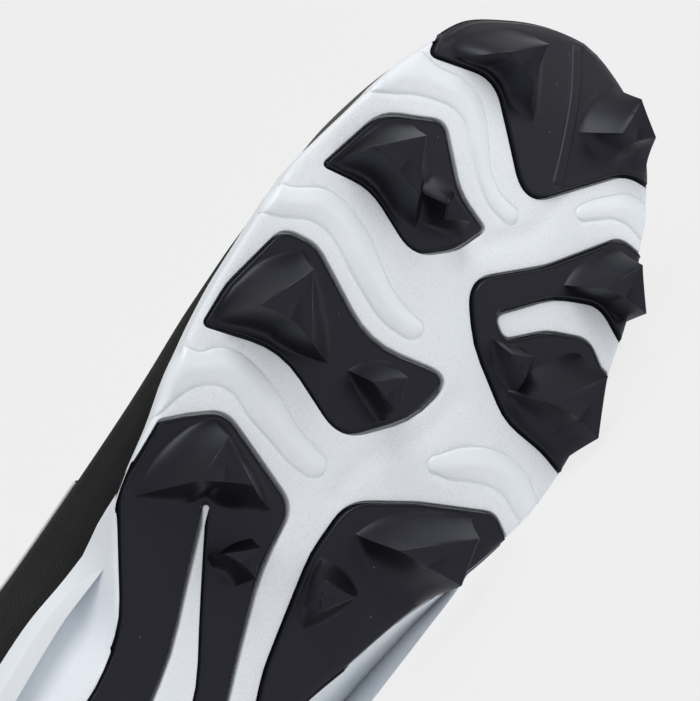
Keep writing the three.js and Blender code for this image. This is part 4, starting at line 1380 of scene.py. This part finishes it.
# Each stud: the four corners of its tip, then the four corners that they run down to, all from the toe's
# corner by the lateral side and the back
STUDS = {
    "toe_pod": (
        ((283.9, -9.6), (275, -17.4), (274.6, -12.6), (273.1, -7.6),
         (290, -9), (264.3, -30.8), (268.4, -14), (268.6, -0.4)),
        ((290.1, 18.6), (279.8, 18.9), (281, 23.4), (284.9, 26.9),
         (294.6, 15.4), (276, 11.8), (271, 21.5), (280.5, 32.6)),
    ),
    "lateral_front_pod": (
        ((239.9, -26.9), (229.2, -36.2), (228.9, -27.8), (227.2, -20.7),
         (248.2, -26.8), (222.2, -40), (222.6, -27), (225, -13.4)),
    ),
    "lateral_ball_pod": (
        ((195, -33.8), (179.9, -40), (182.6, -31.9), (181.1, -25),
         (202.6, -34.4), (174, -44.8), (179.2, -30), (184.8, -14.6)),
    ),
    "waist_heel_pod": (
        ((151.1, -29.8), (138.8, -30), (142.3, -24.9), (145.7, -18.9),
         (158.2, -30.4), (131.6, -36.2), (137.6, -22.6), (148.4, -7.6)),
        ((68.1, -19.5), (55.1, -25.5), (57.1, -19.5), (55.1, -13.5),
         (73.5, -17.5), (50.6, -28.5), (51.6, -19.5), (50.1, -8.5)),
        ((30, -21), (17.4, -25.5), (18.2, -18.6), (15, -11.7),
         (35.5, -21), (12, -28.3), (11.4, -17), (10.8, -7)),
        ((68.1, 15.5), (55.1, 10.5), (57.1, 15.5), (55.1, 20.5),
         (73.5, 14.5), (51, 7.2), (51.6, 15.5), (50.6, 24)),
        ((30, 17.5), (15, 13.5), (18.5, 15.1), (17.3, 26.2),
         (35.5, 18), (11, 8), (11.4, 17), (14, 26.6)),
    ),
    "medial_ball_pod": (
        ((251.7, 36.8), (240.6, 31.7), (242.6, 37.5), (242.6, 43.9),
         (257.3, 34.6), (238.9, 25.9), (240.4, 36.5), (242.6, 45)),
        ((221.8, 41.9), (207.6, 33.9), (209.4, 41.5), (208.2, 47.7),
         (227.2, 37.6), (207.4, 26.4), (202.6, 39), (204.6, 48.4)),
    ),
    "medial_waist_pod": (
        ((169.8, 34.3), (155.1, 19), (156.5, 27), (157.9, 36.4),
         (177.7, 34.6), (156, 12.2), (148.6, 23), (152.4, 36.6)),
    ),
}
SMALL_STUDS = {
    "lateral_front_pod": (
        ((235.6, -11.8), (232.5, -11.4), (229.6, -10), (233.2, -4.8),
         (241.2, -15.2), (233.4, -17), (226.6, -13.4), (231.2, -2.2)),
    ),
    "lateral_ball_pod": (
        ((191.6, 1.2), (185.2, -5.6), (184.6, -0.8), (182.8, 4),
         (195.2, -0.4), (186.6, -9.6), (182.4, -2.6), (181.2, 5.4)),
    ),
    "waist_heel_pod": (
        ((137.8, -7.1), (131, -14.2), (132.4, -9), (131.2, -4.4),
         (140.6, -7.6), (129.4, -12.6), (129.2, -8.4), (129.6, -4.6)),
    ),
    "medial_ball_pod": (
        ((216.4, 25.9), (212.9, 20.5), (211.9, 23.2), (210, 26.5),
         (218.2, 27.6), (215.4, 15.8), (208.6, 21.4), (207.4, 28.6)),
    ),
    "medial_waist_pod": (
        ((142.4, 18.4), (140.6, 9.6), (137.6, 11.6), (134.8, 13.1),
         (145.4, 20.4), (146.8, 8.2), (134.6, 8.4), (131, 14)),
    ),
}
TIP_STEPS = 12
FLANK_ROWS = 16
# The sunk line across a stud's tip: how deep and how wide
FOLD = 1.0
FOLD_WIDTH = 2.2
TIP_BEVEL = 0.26
# How hollow a stud is, corner by side by corner: its ridges run straight down and its back is scooped
HOLLOWS = (1.3, 1.45, 1.15, 2.6, 3.0, 2.6, 1.2, 1.7, 1.3)


def ring(corners, bulge):
    """A closed four-cornered line, its sides bowed out."""
    points = []
    middle = np.mean(corners, 0)
    for one, other, bow in zip(corners, np.roll(corners, -1, 0), bulge):
        t = np.linspace(0, 1, TIP_STEPS, endpoint=False)[:, None]
        way = other - one
        side = np.array([way[1], -way[0]])
        if side @ ((one + other) / 2 - middle) < 0:
            side = -side
        points.append(one + way * t + side * bow * 4 * t * (1 - t))
    return np.concatenate(points)


def stud_rings(row, height, border, face):
    """The rings of a stud, from the middle of its tip out to its foot on the pod's face."""
    corners = np.array(row, float)
    tip = ring(corners[:4], (0, 0, 0, 0))
    foot = ring(corners[4:], (0.12, 0.05, 0.05, 0.1))
    pulled = np.ones(len(tip))
    for share in np.linspace(1, 0.05, 40):
        outside = distance(tip + (foot - tip) * share, border) > -FOOT_GAP
        pulled = np.where(outside & (pulled >= share), share - 0.03, pulled)
    for _ in range(6):
        pulled = np.minimum(pulled, (np.roll(pulled, 1) + np.roll(pulled, -1)) / 2 + 0.02)
    foot = tip + (foot - tip) * pulled[:, None]
    level = ground(corners[0][0]) - height
    hollow = np.interp(np.arange(len(tip)) / TIP_STEPS * 2, np.arange(9), HOLLOWS)
    centre = (corners[0] + corners[2]) / 2
    rings = []
    for share in (0.0, 0.5):
        rings.append(np.column_stack([centre + (tip - centre) * share, np.full(len(tip), level)]))
    inner = tip + (centre - tip) * (TIP_BEVEL / np.linalg.norm(centre - tip, axis=1))[:, None]
    rings.append(np.column_stack([inner, np.full(len(tip), level)]))
    for k in range(FLANK_ROWS + 1):
        share = k / FLANK_ROWS
        plan = tip + (foot - tip) * share
        base = face(plan)
        start = level + TIP_BEVEL * 0.7
        rings.append(np.column_stack([plan, base + (start - base) * (1 - share) ** hollow]))
    across = corners[2] - corners[0]
    for points in rings[:4]:
        away = np.abs(np.cross(points[:, :2] - corners[0], across)) / np.linalg.norm(across)
        share = np.linalg.norm(points[:, :2] - corners[0], axis=1) / np.linalg.norm(across)
        points[:, 2] += FOLD * np.exp(-away / FOLD_WIDTH) * np.clip(share, 0, 1)
    return np.array(rings)


FACE_INSET = 0.95
POD_GRID = 1.3
# The rim's steps out and up: a thin lip and a round where a pod meets the plate, a roll at the sole's edge
RIM_ROWS = ((0.12, -0.12), (0.16, 0.0), (0.18, 0.14), (0.12, 0.34), (0.06, 1.3), (0.3, 1.0))
EDGE_ROWS = ((0.06, 0.1), (0.1, 0.2), (0.06, 0.45), (0.0, 0.45), (-0.15, 0.2), (-0.6, 0.05))
# A strip moulded across the toe, and half its width
TOE_STRIP = ((297, 2.2), (283, 7.3), (272, 10.1), (259, 12.8))
STRIP_HALF = 1.4
STRIP_RISE = 0.16
strip_line = flowing(TOE_STRIP)
strip_way = np.gradient(strip_line, axis=0)
strip_side = np.stack([-strip_way[:, 1], strip_way[:, 0]], -1)
strip_side = strip_side / np.linalg.norm(strip_way, axis=1, keepdims=True) * STRIP_HALF
strip_outline = np.concatenate([strip_line + strip_side, (strip_line - strip_side)[::-1]])


def pod_face(name):
    """The height of a pod's face in plan, turned up at the sole's edge."""
    def height(plan):
        level = ground(plan[:, 0]) + POD_FACE[name] + edge_roll(plan, POD_ROLL[name])
        if name == "toe_pod":
            depth = -distance(plan, strip_outline)
            level = level - STRIP_RISE * smooth_step(depth, 0, 0.25) + 0.12 * np.exp(-((depth / 0.3) ** 2))
        return level
    return height


def pod_piece(name):
    """A pod with its studs, as one mesh."""
    face = pod_face(name)
    border = spaced(grown(pod_outlines[name], -FACE_INSET), 1.0)
    studs = [stud_rings(row, STUD_HEIGHT, border, face) for row in STUDS.get(name, ())]
    studs += [stud_rings(row, SMALL_STUD_HEIGHT, border, face) for row in SMALL_STUDS.get(name, ())]
    feet = [rings[-1][:, :2] for rings in studs]

    def keep(centres):
        inside = (distance(centres, border) < 0) & (distance(centres, sole_outline) < 0)
        for foot in feet:
            inside &= distance(centres, foot) > 0
        return inside

    strips = []
    if name == "toe_pod":
        strips = [strip_outline, grown(strip_outline, -0.3), grown(strip_outline, 0.35)]
    rolls = [grown(sole_outline, -share * POD_ROLL[name]) for share in (0, 0.35, 1)]
    bm = patchwork([border] + rolls + feet + strips, [], POD_GRID, keep)
    raise_to(bm, face)
    edges = [edge for edge in bm.edges if len(edge.link_faces) == 1]
    middles = np.array([((edge.verts[0].co + edge.verts[1].co) / 2)[:2] for edge in edges])
    at_foot = np.zeros(len(edges), bool)
    for foot in feet:
        at_foot |= np.abs(distance(middles, foot)) < 0.02
    outer = [edge for edge, foot in zip(edges, at_foot) if not foot]
    corners = list({vert for edge in outer for vert in edge.verts})
    from_sole = np.abs(distance(np.array([vert.co[:2] for vert in corners]), sole_outline))
    rolled = [vert for vert, far in zip(corners, from_sole) if far < 0.08]
    climb = POD_ROLL[name] / 2
    skirted(bm, outer, RIM_ROWS, None, [(out, up * climb) for out, up in EDGE_ROWS], rolled)
    for rings in studs:
        join(bm, draped(np.concatenate([rings, rings[:, :1]], 1)))
    bmesh.ops.remove_doubles(bm, verts=bm.verts, dist=0.004)
    bmesh.ops.recalc_face_normals(bm, faces=bm.faces)
    return bm


rubber, tree, shader = finish_of("moulded_rubber", Base_Color=colour("#131318"), Roughness=0.38)
shader.inputs["Specular IOR Level"].default_value = 0.36
shader.inputs["Specular Tint"].default_value = colour("#D9DAF2")
place = add(tree, "ShaderNodeTexCoord").outputs["Object"]
fine = add(tree, "ShaderNodeTexNoise", {"Vector": place, "Scale": 1400.0, "Detail": 3.0})
bump = add(tree, "ShaderNodeBump", {"Height": fine.outputs["Fac"], "Strength": 0.1, "Distance": 0.0002})
tree.links.new(bump.outputs[0], shader.inputs["Normal"])
# Specks of dust, some 6 mm apart
specks = add(tree, "ShaderNodeTexVoronoi", {"Vector": place, "Scale": 170.0})
dust = add(tree, "ShaderNodeMath", {0: specks.outputs["Distance"], 1: 0.03}, operation="LESS_THAN")
tone = add(tree, "ShaderNodeMixRGB", {"Fac": dust.outputs[0], "Color1": colour("#131318"),
                                     "Color2": colour("#5C6269")})
tree.links.new(tone.outputs[0], shader.inputs["Base Color"])

for name in POD_CORNERS:
    piece = finished(pod_piece(name), f"{name}_rubber", [rubber], 24)
    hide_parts(name)
